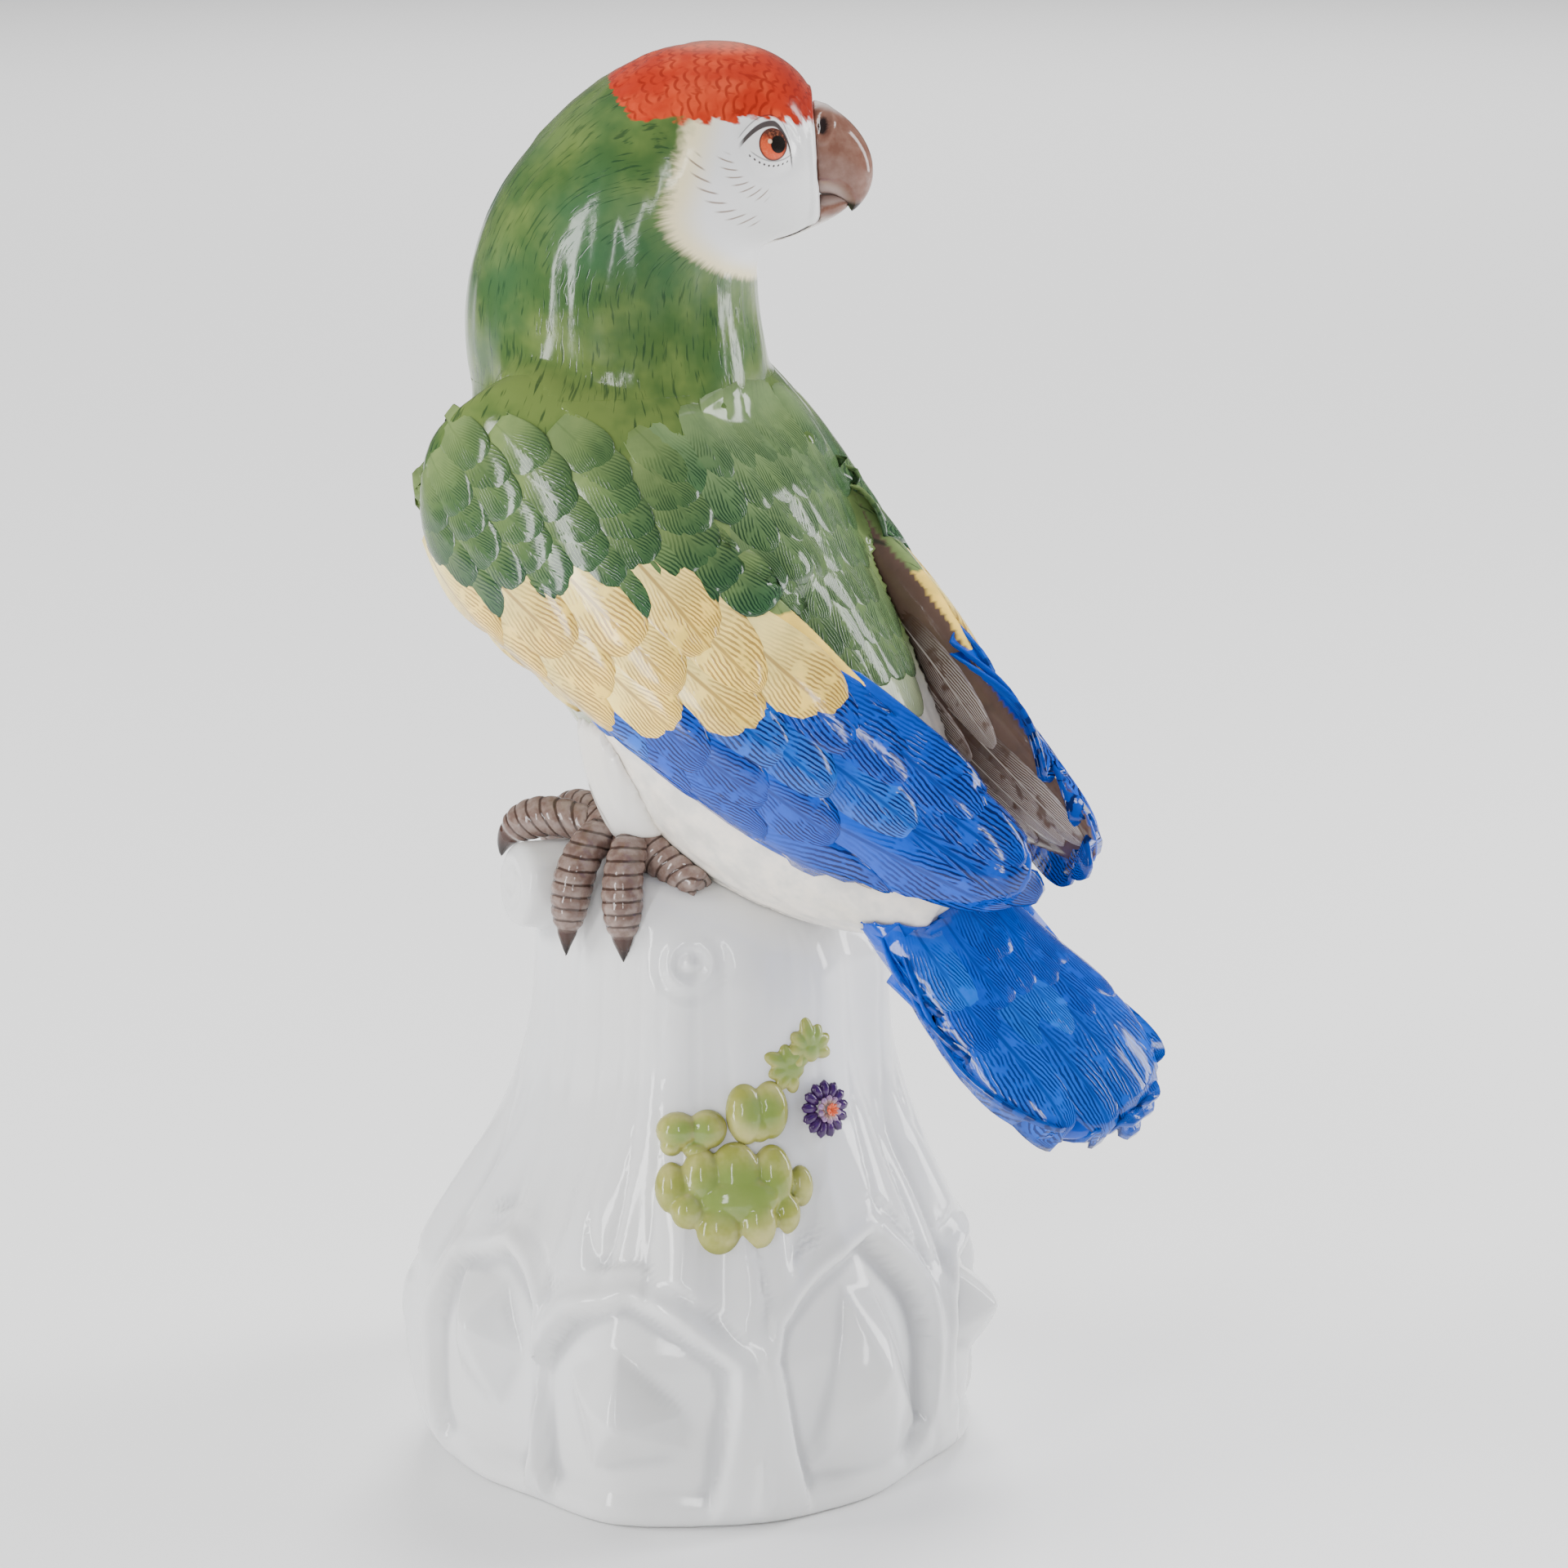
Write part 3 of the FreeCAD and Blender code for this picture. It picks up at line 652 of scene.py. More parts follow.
def lay_feather(coat, tree, centre, along, out, size, look, fine=1.0, adrift_most=0.3):
    """Lays one closed blade on a surface. size is (length, half width, lift of the tip), and look
    is (paint at the root, paint at the tip, ink, strength of barbs, strength of shaft)."""
    length, half, lift = size
    root_paint, tip_paint, ink, barbs, shaft = look
    along = (along - out * along.dot(out)).normalized()
    side = out.cross(along)
    rows = max(7, round(11 * fine))
    columns = 9
    u = (1 - (1 - np.linspace(0, 1, rows)) ** 1.5) * 0.992
    v = np.sin(np.linspace(-np.pi / 2, np.pi / 2, columns))
    widths = half * blade_width(u, 0.58)
    bend = random.uniform(-0.06, 0.06) * length
    chance = random.random()
    adrift = 0
    top, floor, quill = [], [], []
    for i in range(rows):
        for j in range(columns):
            sway = bend * (u[i] - 0.5) ** 2
            q = centre + along * ((u[i] - 0.5) * length) + side * (v[j] * widths[i] + sway)
            reach = 0.75 * (q - centre).length + 0.8 * MM
            hit, normal, _, fallen = tree.ray_cast(q + out * reach, -out, 60 * MM)
            if hit is None or fallen > 2 * reach:
                hit, normal = q - out * (reach * 0.45), out
                adrift += 1
            if normal.dot(out) < 0.3:
                normal = out
                adrift += 0.5
            edge = (1 - abs(v[j]) ** 5) * (1 - u[i] ** 14)
            rise = -0.35 * MM + lift * u[i] ** 0.8
            camber = half * 0.055 * (1 - v[j] ** 2) * (1 - u[i] ** 6)
            groove = 0.13 * MM * math.exp(-((v[j] / 0.16) ** 2)) * shaft
            top.append(hit + normal * (rise * (0.45 + 0.55 * math.sqrt(max(edge, 0))) + camber + groove))
            if j in (0, columns - 1):
                floor.append(hit - normal * (0.9 * MM))
            quill.append((u[i], v[j], chance))
    if adrift > adrift_most * len(top):
        return
    faces = []
    low = rows * columns
    for i in range(rows - 1):
        for j in range(columns - 1):
            a = i * columns + j
            faces.append((a, a + 1, a + columns + 1, a + columns))
        left, right = i * columns, i * columns + columns - 1
        f = low + 2 * i
        faces.append((left, left + columns, f + 2, f))
        faces.append((right, f + 1, f + 3, right + columns))
        faces.append((f, f + 2, f + 3, f + 1))
    faces.append((low, low + 1) + tuple(range(columns - 1, -1, -1)))
    last = (rows - 1) * columns
    faces.append((low + 2 * rows - 1, low + 2 * rows - 2) + tuple(range(last, last + columns)))
    for i in range(rows):
        quill += [(u[i], -1, chance), (u[i], 1, chance)]
    place = np.array(quill)[:, 0]
    share = smooth(place, 0.15, 0.95)[:, None]
    paint = np.array(root_paint) * (1 - share) + np.array(tip_paint) * share
    paint = paint * random.uniform(0.9, 1.1)
    mark = np.stack([barbs * smooth(place, 0.2, 0.75), np.full(len(place), shaft), np.zeros(len(place))], 1)
    coat.add([tuple(p) for p in top + floor], faces, paint=paint, ink=ink, quill=quill, mark=mark)


class Panel:
    """A wing or the tail as a flat form of its own: how far along it, and how far across."""

    def __init__(self, node, root, tip, out):
        self.root = root
        self.along = (tip - root).normalized()
        self.out = (out - self.along * out.dot(self.along)).normalized()
        self.across = self.out.cross(self.along)
        if self.across.z < 0:
            self.across = -self.across
        self.length = (tip - root).length
        self.tree = tree_of(NODES[node].data)
        co = points_of(NODES[node].data) - np.array(root)
        far = co @ np.array(self.along)
        wide = co @ np.array(self.across)
        self.at, self.low, self.high = [], [], []
        for level in np.linspace(0.02, 0.98, 14) * self.length:
            slab = wide[np.abs(far - level) < 5 * MM]
            if len(slab):
                self.at.append(level)
                self.low.append(slab.min())
                self.high.append(slab.max())

    def edges(self, far):
        return np.interp(far, self.at, self.low), np.interp(far, self.at, self.high)

    def place(self, far, share):
        """The point that far along the panel, at share across it: -1 low edge, 1 high edge."""
        low, high = self.edges(far)
        wide = (low + high) / 2 + share * (high - low) / 2
        return self.root + self.along * float(far) + self.across * float(wide)

    def flow(self, far, share):
        ahead = self.place(far + 4 * MM, share)
        return (ahead - self.place(far - 4 * MM, share)).normalized()

    def measure(self, points):
        """(far, wide, out) of points, in millimetres."""
        rel = (np.asarray(points) - np.array(self.root)) / MM
        return tuple(rel @ np.array(axis) for axis in (self.along, self.across, self.out))


def bird(x, y, z):
    """A point given in millimetres in the bird's own frame."""
    return RIGHT * (x * MM) + BREAST * (y * MM) + UP * (z * MM)


# Where the wing's colours change, in millimetres along it, at its middle and per millimetre across.
GREEN_END = (68, 1.36)
CREAM_END = (105, 1.22)
# Tips of the longest feathers: millimetres along the wing or tail, and share across it, -1 to 1.
PRIMARY_TIPS = ((146, 0.76), (158, 0.55), (165, 0.15), (162, -0.25), (154, -0.6), (141, -0.88))
QUILL_TIPS = ((158, 0.35), (154, 0.0), (147, -0.35), (138, -0.65), (128, 0.55), (124, 0.1), (118, -0.4))
TAIL_TIPS = ((74, -0.8), (79, -0.38), (82, 0.1), (80, 0.5), (73, 0.88))
# Rows behind them, in millimetres.
BLUE_ROWS = ((33, 40), (20, 37), (8, 33))  # (how far past the cream's end, feather length)
CREAM_ROWS = (0, -14, -27)  # how far past the cream's end
TAIL_ROWS = ((60, 38, 8.4), (47, 32, 8.0), (35, 27, 7.6), (24, 22, 7.0))  # (far, length, pitch)
GREEN_ROWS = 7
GREEN_PITCH = 8.4
INNER_FROM = 50  # past this the wing stands free, and its inner side shows brown quills


def wing_zone(far, wide):
    """0 green, 1 cream, 2 blue, at these millimetres along and across a wing."""
    cream = far > GREEN_END[0] + GREEN_END[1] * wide
    blue = far > CREAM_END[0] + CREAM_END[1] * wide
    return cream.astype(int) + blue.astype(int)


def wing_paint(far, wide):
    zone = wing_zone(far, wide)
    paints = np.array([FOREST, CREAM, COBALT])
    inks = np.array([GREEN_INK, BROWN_INK, BLUE_INK])
    return paints[zone], inks[zone]


def lay_on_panel(coat, tree, panel, far, share, size, look, out=None, fine=1.0):
    """Lays a feather whose tip is that far along the panel."""
    out = out or panel.out
    length = size[0]
    middle_far = far - length / 2
    along = panel.flow(middle_far, share)
    centre = panel.place(middle_far, share)
    hit, normal, _, _ = tree.ray_cast(centre + out * (40 * MM), -out, 80 * MM)
    if hit is None or panel.tree.find_nearest(hit)[3] > 5 * MM:
        return
    if normal.dot(out) < 0.35:
        normal = out
    lay_feather(coat, tree, hit, along, (normal + out).normalized(), size, look, fine)


def wing_panel(side):
    sign = -1 if side == "left" else 1
    return Panel(f"{side}_wing", bird(sign * 37, 33, 244), bird(sign * 14, -97, 151), RIGHT * sign)


def crease_fillers():
    """Balls in the crease where the upper edge of each wing meets the back."""
    fillers = []
    for side, last in (("left", 78), ("right", 50)):
        panel = wing_panel(side)
        for far in range(4, last, 3):
            grown = 1 - abs(far - 34) / 60
            for share, inward in ((0.74, 6.5), (0.86, 11.0), (0.92, 15.5)):
                radius = (5 + 2.5 * grown) * MM
                fillers.append((panel.place(far * MM, share) - panel.out * (inward * MM), radius))
    return fillers


def pulled_to(mesh, outer_tree, reach):
    """Raises a skin to an outer form that bridges its creases, where that is close outside it."""
    co, normals = points_and_normals(mesh)
    for i, (p, n) in enumerate(zip(co, normals)):
        p, n = Vector(p), Vector(n)
        hit, normal, _, _ = outer_tree.ray_cast(p - n * (0.3 * MM), n, reach)
        if hit is not None and normal.dot(n) > 0.3:
            co[i] = hit - n * (0.15 * MM)
    set_points(mesh, co)
    return with_modifiers(mesh, ("SMOOTH", {"factor": 0.5, "iterations": 3}))


def row_of_tips(panel, start, slope, pitch):
    """Tips (far, share) of one slanted row across a panel, from its low edge to its high edge."""
    share = -0.94 + random.uniform(0, 0.1)
    while share < 1.0:
        far = start
        for _ in range(3):  # the row's line and the panel's edges both depend on how far it is
            low, high = panel.edges(max(far, 4 * MM))
            wide = (low + high) / 2 + share * (high - low) / 2
            far = start + slope * wide
        yield far, share
        share += 2 * pitch / max(high - low, 8 * MM)


def jitter(amount):
    return random.uniform(-amount, amount)


def lay_wing(coat, tree, panel):
    """Green coverts, cream secondaries and blue primaries, from the wing's tip to its shoulder."""
    blue = (COBALT, COBALT, BLUE_INK, 1.0, 0.6)
    light_blue = (COBALT, SKY, BLUE_INK, 1.0, 0.6)
    for far, share in PRIMARY_TIPS:
        size = ((54 - 14 * share**4) * MM, 7.8 * MM, 1.8 * MM)
        lay_on_panel(coat, tree, panel, far * MM, share, size, blue, fine=1.8)
    for back, length in BLUE_ROWS:
        start = (CREAM_END[0] + back) * MM
        for far, share in row_of_tips(panel, start, CREAM_END[1] * 0.85, 10.5 * MM):
            if far < 152 * MM:
                look = light_blue if random.random() < 0.45 else blue
                size = ((length + jitter(3)) * MM, 7.6 * MM, 1.6 * MM)
                lay_on_panel(coat, tree, panel, far + jitter(1.5) * MM, share, size, look, fine=1.4)
    for back in CREAM_ROWS:
        start = (CREAM_END[0] + back) * MM
        for far, share in row_of_tips(panel, start, CREAM_END[1], 11.0 * MM):
            look = (PALE_CREAM, CREAM, BROWN_INK, 0.8, 0.7)
            size = ((34 + jitter(3)) * MM, 8.0 * MM, 1.6 * MM)
            lay_on_panel(coat, tree, panel, far + jitter(1.5) * MM, share, size, look, fine=1.3)
    for row in range(GREEN_ROWS):
        start = (GREEN_END[0] - GREEN_PITCH * row) * MM
        grown = 1 - row / (GREEN_ROWS + 1)
        for far, share in row_of_tips(panel, start, GREEN_END[1], 7.6 * MM):
            if far > 12 * MM and share < 0.97:
                tip = mixed(FOREST, OLIVE, 0.05 * row)
                look = (mixed(OLIVE, SAGE, 0.5), tip, GREEN_INK, 0.95 - 0.06 * row, 0.2)
                length = 14 + 7 * grown + jitter(1.5)
                size = (length * MM, (5.0 + 1.4 * grown) * MM, (0.5 + 0.8 * grown) * MM)
                lay_on_panel(coat, tree, panel, far + jitter(1.2) * MM, share, size, look)


def lay_quills(coat, tree, panel):
    """The grey-brown flight feathers on a wing's inner side, where it stands free of the body."""
    look = ((0.075, 0.043, 0.032), (0.13, 0.083, 0.066), (0.62, 0.56, 0.52), 0.95, 0.9)
    for far, share in QUILL_TIPS:
        size = (46 * MM, 4.6 * MM, 1.0 * MM)
        lay_on_panel(coat, tree, panel, far * MM, share, size, look, out=-panel.out, fine=1.4)


def torso_measures(points):
    """(millimetres down the back from the neck, how far round towards the back: 1 back, -1 breast)."""
    rel = (np.asarray(points) - np.array(NECK)) / MM
    down = rel @ np.array(TORSO_AXIS)
    side = rel @ np.array(RIGHT)
    dorsal = rel @ np.array(TORSO_BACK)
    return down, dorsal / np.maximum(np.hypot(side, dorsal), 1e-6)


TORSO_AXIS = (bird(0, -60, 142) - bird(0, 21.5, 247)).normalized()  # from the neck to the rump
TORSO_BACK = RIGHT.cross(TORSO_AXIS)
if TORSO_BACK.z < 0:
    TORSO_BACK = -TORSO_BACK
GREEN_FADE_BACK = (82, 102)  # where the green of the back thins out to white, in mm from the neck
GREEN_FADE_BREAST = (46, 64)


def torso_green(points):
    """How green the body is here, 0 to 1."""
    down, dorsal = torso_measures(points)
    back = smooth(dorsal, -0.25, 0.35)
    start = GREEN_FADE_BREAST[0] + (GREEN_FADE_BACK[0] - GREEN_FADE_BREAST[0]) * back
    end = GREEN_FADE_BREAST[1] + (GREEN_FADE_BACK[1] - GREEN_FADE_BREAST[1]) * back
    return 1 - smooth(down, start, end)


# The mantle: its rows, the feathers in each, how far down from the neck the lowest row lies, and
# how far apart the rows are, in millimetres.
MANTLE = {"rows": 8, "feathers": 24, "lowest": 92, "pitch": 8.8}


def lay_mantle(coat, body_tree, torso_tree, wing_trees):
    """Rows of scalloped feathers round the body, from the rump up to the neck."""
    for row in range(MANTLE["rows"]):
        down = MANTLE["lowest"] - MANTLE["pitch"] * row
        spine = NECK + TORSO_AXIS * (down * MM)
        for k in range(MANTLE["feathers"]):
            turn = 2 * math.pi * (k + 0.5 * (row % 2)) / MANTLE["feathers"] + jitter(0.02)
            ray = TORSO_BACK * math.cos(turn) + RIGHT * math.sin(turn)
            hit, normal, _, _ = body_tree.ray_cast(spine + ray * (90 * MM), -ray, 120 * MM)
            if hit is None:
                continue
            green = float(torso_green([tuple(hit)])[0])
            clear = 7.0 if down > 40 and math.sin(turn) > 0 else 0.8
            on_wing = min(tree.find_nearest(hit)[3] for tree in wing_trees) < clear * MM
            if on_wing or green < 0.04 or torso_tree.find_nearest(hit)[3] > 12 * MM:
                continue
            near_neck = float(smooth(down, 8, 45))
            darker = float(smooth(abs(math.sin(turn)), 0.35, 0.9))
            tip = mixed(mixed(SAGE, OLIVE, random.random() * 0.6), FOREST, 0.55 + 0.4 * darker)
            pale = mixed(WARM_WHITE, PALE_SAGE, min(1.0, green * 1.6))
            tip = mixed(pale, tip, green)
            root = mixed(pale, mixed(SAGE, tip, 0.3), green)
            look = (root, tip, mixed(pale, GREEN_INK, green), (0.5 + 0.4 * near_neck) * green, 0.1)
            lift = (0.3 + 0.65 * near_neck) * (0.4 + 0.6 * green)
            size = ((19 + 2 * near_neck) * MM, (5.4 + 0.6 * near_neck) * MM, lift * MM)
            along = TORSO_AXIS + jitter(0.12) * RIGHT
            lay_feather(coat, body_tree, hit, along, normal, size, look, adrift_most=0.16)


def lay_tail(coat, tree, panel):
    """Long blue tail feathers, on both faces; the longest reach past one another at the end."""
    for out in (panel.out, -panel.out):
        for far, share in TAIL_TIPS:
            size = (52 * MM, 8.2 * MM, 1.7 * MM)
            look = (COBALT, mixed(COBALT, SKY, 0.4), BLUE_INK, 0.85, 0.6)
            lay_on_panel(coat, tree, panel, far * MM, share * 0.82, size, look, out=out, fine=1.8)
        for start, length, pitch in TAIL_ROWS:
            for far, share in row_of_tips(panel, start * MM, 0.0, pitch * MM):
                reach = far - 7 * MM * share**2 + jitter(2.5) * MM
                tip = SKY if random.random() < 0.35 else COBALT
                look = (COBALT, tip, BLUE_INK, 0.85, 0.5)
                size = (length * MM, 6.3 * MM, 1.5 * MM)
                lay_on_panel(coat, tree, panel, reach, share * 0.86, size, look, out=out, fine=1.4)


def streaks(points, normals, flow_axis, size, amount):
    """Moves points in and out along soft feathery streaks that run with an axis."""
    axis = Vector(flow_axis).normalized()
    moved = points.copy()
    for i, (p, n) in enumerate(zip(points, normals)):
        p = Vector(p)
        flat = p - axis * p.dot(axis) * 0.82
        wave = noise.noise(flat / size) + 0.5 * noise.noise(flat / (size * 0.45))
        moved[i] += n * (wave * amount)
    return moved


def neck_flow(points):
    """Brush direction on head and neck: (across, along), metres, from the beak over to the nape."""
    x = points[:, 0] - (NECK.x + SKULL_FORE)
    y = points[:, 1] - HEAD_AXIS
    z = points[:, 2] - (SEAM_Z + SKULL_HEIGHT)
    over = SKULL_RADIUS * np.arctan2(np.maximum(z, 0), x)
    down = SKULL_RADIUS * math.pi - z
    high = smooth(z, -16 * MM, 16 * MM)
    along = np.where(z > 0, over, down)
    around = NECK_RADIUS * np.arctan2(y, -(points[:, 0] - NECK.x))
    across = y * high + around * (1 - high)
    return np.stack([across, along, np.zeros(len(points))], 1)


# ---------------------------------------------------------------- the stump
# Rocks set in the foot of the stump: bearing from -Y towards +X in degrees, height of the middle,
# half width and half height in millimetres.
ROCKS = (
    (-55, 33, 19, 24),
    (-14, 28, 24, 24),
    (39, 34, 24, 26),
    (86, 30, 18, 22),
    (124, 33, 20, 25),
    (168, 30, 21, 23),
    (-147, 34, 19, 25),
    (-103, 29, 18, 22),
)
ROCK_REACH = 9.0  # a rock's frame of bark ends this far outside it, in millimetres
FOOT_RADIUS = 62  # of the stump where the rocks are, in millimetres
RELIEF_LEAST, RELIEF_MOST = -4.2, 3.2
STUMP_FLOOR = 0.25 * MM  # the skin is cut flat just above the resting face
KNOT = Vector((-1.6 * MM, -38.6 * MM, 124.5 * MM))
STUB_FACE = Vector((-42 * MM, -16 * MM, 136 * MM))
STUB_AXIS = Vector((-28, -13, 3)).normalized()


def rock_planes(seed):
    """One rock: its facets round a peak as (height, slope across, slope up), in millimetres, and
    its outline as (across, up, reach) of each side."""
    chance = random.Random(seed)
    peak_across, peak_up = chance.uniform(-7, 7), chance.uniform(-4, 7)
    height = chance.uniform(5.4, 6.4)
    turn = chance.uniform(0, 2 * math.pi)
    planes = []
    for k in range(5):
        turn += 2 * math.pi / 5 + chance.uniform(-0.35, 0.35)
        slope = chance.uniform(0.22, 0.75)
        across, up = slope * math.cos(turn), slope * math.sin(turn)
        planes.append((height + across * peak_across + up * peak_up, across, up))
    sides = []
    for k in range(7):
        turn = 2 * math.pi * (k + chance.uniform(-0.3, 0.3)) / 7
        sides.append((math.cos(turn), math.sin(turn), chance.uniform(0.78, 1.06)))
    return planes, sides


ROCK_PLANES = [rock_planes(40 + i) for i in range(len(ROCKS))]


def bark_relief(p):
    """How far the bark, the roots and the rocks stand off the plain stump here, in millimetres."""
    bearing = math.degrees(math.atan2(p.x, -p.y))
    height = p.z / MM
    ring = Vector((math.sin(math.radians(bearing)), math.cos(math.radians(bearing)), 0))
    sway = noise.noise(ring * 1.7 + UP * (height / 50)) * 0.5
    low = 1 - float(smooth(height, 52, 90))
    broad = noise.noise(ring * 2.6 + UP * (height / 85 + sway))
    fold = noise.noise(ring * 4.6 + Vector((0, 0, height / 70 + sway + 9)))
    crease = noise.noise(ring * 5.2 + Vector((5, 0, height / 95 + 1.6 * sway)))
    relief = (1.6 + 1.2 * low) * broad + 0.9 * fold
    relief -= 1.1 * math.exp(-((crease / 0.07) ** 2)) * (0.35 + 0.65 * low)
    root = noise.noise(ring * 3.8 + Vector((0, 7, height / 120 + 1.2 * sway)))
    relief += low * (3.0 * (0.45 - abs(root) * 1.7))
    nearest, rock, arch = ROCK_REACH, 0.0, 0.0
    for (turn, middle, wide, tall), (planes, sides) in zip(ROCKS, ROCK_PLANES):
        across = (bearing - turn + 180) % 360 - 180
        across = math.radians(across) * FOOT_RADIUS
        up = height - middle
        rise = up / tall * (1 if up > 0 else 0.55)
        polygon = max((across / wide * c + rise * t) / reach for c, t, reach in sides)
        away = (0.6 * polygon + 0.4 * math.hypot(across / wide, rise) - 1) * min(wide, tall)
        if away < nearest:
            nearest = away
            arch = 0.15 + 0.85 * float(smooth(rise, -0.35, 0.2))
            rock = 1.25 * max(min(h - gx * across - gy * up for h, gx, gy in planes) - 2.5, -3.6)
    if nearest < ROCK_REACH:
        frame_ridge = arch * (1.7 + 1.0 * fold) * math.exp(-(((nearest - 3.2) / 1.9) ** 2))
        groove = -1.7 * arch * math.exp(-(((nearest - 0.3) / 0.7) ** 2))
        share = float(smooth(nearest, -0.8, 1.0))
        relief = rock * (1 - share) + (relief * 0.6 + frame_ridge) * share + groove
    away = (p - KNOT).length / MM
    relief += 1.1 * math.cos(away * 1.25) * math.exp(-((away / 6.5) ** 2))
    return max(RELIEF_LEAST, min(relief, RELIEF_MOST))


def hollow_shade_and_glaze_pool(mesh):
    """Painted shade in the hollows of a mesh, with the faint tint of glaze gathered there: x is 0 to 1."""
    co, normals = points_and_normals(mesh)
    edges = np.empty(len(mesh.edges) * 2, int)
    mesh.edges.foreach_get("vertices", edges)
    first, second = edges.reshape(-1, 2).T
    count = np.bincount(first, minlength=len(co)) + np.bincount(second, minlength=len(co))

    def around(values):
        total = np.bincount(first, values[second], len(co)) + np.bincount(second, values[first], len(co))
        return total / np.maximum(count, 1)

    mean = np.stack([around(co[:, axis]) for axis in range(3)], 1)
    bend = ((mean - co) * normals).sum(1) / MM
    for _ in range(6):
        bend = around(bend)
    hollow = smooth(bend, 0.004, 0.05)
    return np.stack([hollow, hollow * 0, hollow * 0], 1)


def stump_skin():
    axis_low = Vector((0, 0, 46 * MM))
    axis_high = Vector((0, 0, 122 * MM))
    fillers = hollow_fillers("stump", axis_low, axis_high, 9)
    for turn in range(8):
        spot = Vector((math.cos(turn * math.pi / 4), math.sin(turn * math.pi / 4), 0)) * (28 * MM)
        fillers += hollow_fillers("stump", spot + UP * (29 * MM), spot + UP * (60 * MM), 2)
    mesh = skin_of(("stump", "branch_stub", "base_plate"), "stump", fillers)
    co, normals = points_and_normals(mesh)
    moved = co.copy()
    for i, (p, n) in enumerate(zip(co, normals)):
        p, n = Vector(p), Vector(n)
        reach = math.hypot(p.x, p.y) / MM
        low = float(smooth(p.z, 0.5 * MM, 9 * MM))
        crown = 1 - float(smooth(p.z, 122 * MM, 134 * MM))
        from_stub = (p - STUB_FACE).dot(STUB_AXIS) / MM
        off_axis = ((p - STUB_FACE) - STUB_AXIS * (p - STUB_FACE).dot(STUB_AXIS)).length / MM
        on_stub = from_stub > -18 and off_axis < 12.5 and reach > 36
        if on_stub:
            face = float(smooth(n.dot(STUB_AXIS), 0.55, 0.85))
            rings = 0.38 * math.cos(off_axis * 1.9 + 0.4) * math.exp(-((off_axis - 3.4) / 4.2) ** 2)
            bark = 0.35 * noise.noise(Vector((off_axis * 0.2, p.z * 260, from_stub * 0.12)))
            moved[i] += np.array(n) * ((rings * face + bark * (1 - face)) * MM)
            continue
        outward = float(smooth(Vector((p.x, p.y, 0)).normalized().dot(n), 0.0, 0.4)) if reach > 8 else 0
        moved[i] += np.array(n) * (bark_relief(p) * low * crown * outward * MM)
    set_points(mesh, moved)
    mesh = with_modifiers(mesh, ("SMOOTH", {"factor": 0.5, "iterations": 2}))
    # painted shade in the stump's hollows, with a faint glaze tint
    put_vectors(mesh, "pooled_tint_and_hollow_shade", hollow_shade_and_glaze_pool(mesh))
    return mesh


def make_stump(glaze):
    mesh = cut_at(stump_skin(), STUMP_FLOOR, True)
    hand_over("stump_with_roots", mesh, glaze, "bisque_white", "stump", "branch_stub")
    for polygon in mesh.polygons:
        if polygon.normal.z < -0.99 and abs(polygon.center.z - STUMP_FLOOR) < 0.02 * MM:
            polygon.use_smooth = False
    return tree_of(mesh)


# ---------------------------------------------------------------- the bird
# Lines down the middle of the hollow castings, in millimetres: the body's in the bird's own frame,
# forwards and up, and the head's from the middle of the neck, towards the beak and up.
SPINE = ((20, 238), (12, 215), (-10, 186), (-28, 165), (-45, 151), (-58, 143))
SKULL = ((2, 12), (3, 28), (9, 38), (22, 40))


def body_forms():
    """Skins of the body and head together, and of the body with its wings for the feathers."""
    fillers = []
    for high, low in zip(SPINE, SPINE[1:]):
        fillers += hollow_fillers("torso", bird(0, *high), bird(0, *low), 4)
    skull = [NECK + Vector((x, 0, z)) * MM for x, z in SKULL]
    for low, high in zip(skull, skull[1:]):
        fillers += hollow_fillers("head", low, high, 3)
    fillers += crease_fillers()
    fine = skin_of(("torso", "head"), "bird", fillers)
    whole = skin_of(("torso", "head", "left_wing", "right_wing"), "bird with wings", fillers)
    return pulled_to(fine, tree_of(whole), 5 * MM), whole


def back_green(points):
    """The green of the bare skin, deeper by the neck."""
    share = smooth(SEAM_Z - points[:, 2], 0, 28 * MM)[:, None]
    return np.array(mixed(OLIVE, FOREST, 0.5)) * (1 - share) + np.array(mixed(SAGE, OLIVE, 0.4)) * share


def skin_flow(points):
    """Brush direction below the seam, with how far the brushwork is still the neck's as z."""
    flow = neck_flow(points)
    flow[:, 2] = 1 - smooth(SEAM_Z - points[:, 2], 4 * MM, 34 * MM)
    return flow


def make_torso(glaze, fine, whole_tree, wing_trees):
    mesh = cut_at(fine, SEAM_Z, False)
    co, normals = points_and_normals(mesh)
    green = torso_green(co)[:, None]
    paint = np.array(WARM_WHITE) * (1 - green) + back_green(co) * green
    mark = np.zeros_like(co)
    mark[:, 2] = green[:, 0] * 0.75
    coat = Coat()
    shaped = streaks(co, normals, TORSO_AXIS, 7 * MM, 0.45 * MM)
    below_seam = smooth(SEAM_Z - co[:, 2], 0.0, 6 * MM)[:, None]
    set_points(mesh, co + (shaped - co) * below_seam)
    coat.add_skin(mesh, paint=paint, ink=GREEN_INK, mark=mark, flow=skin_flow(co))
    lay_mantle(coat, whole_tree, tree_of(fine), wing_trees)
    hand_over("body_with_mantle", coat.mesh(), glaze, "painted_body", "torso")


def eye_frame(side):
    """Centre and axes of the eye on one side of the head: -1 the show side, 1 the other."""
    centre = EYE["place"].copy()
    out = Vector((0.48, -0.85, 0.2)).normalized()
    if side > 0:
        centre.y = 2 * HEAD_AXIS - centre.y
        out.y = -out.y
    fore = (Vector((1, 0, 0)) - out * out.x).normalized()
    rise = (UP - out * out.z - fore * fore.z).normalized()
    return centre, fore, rise


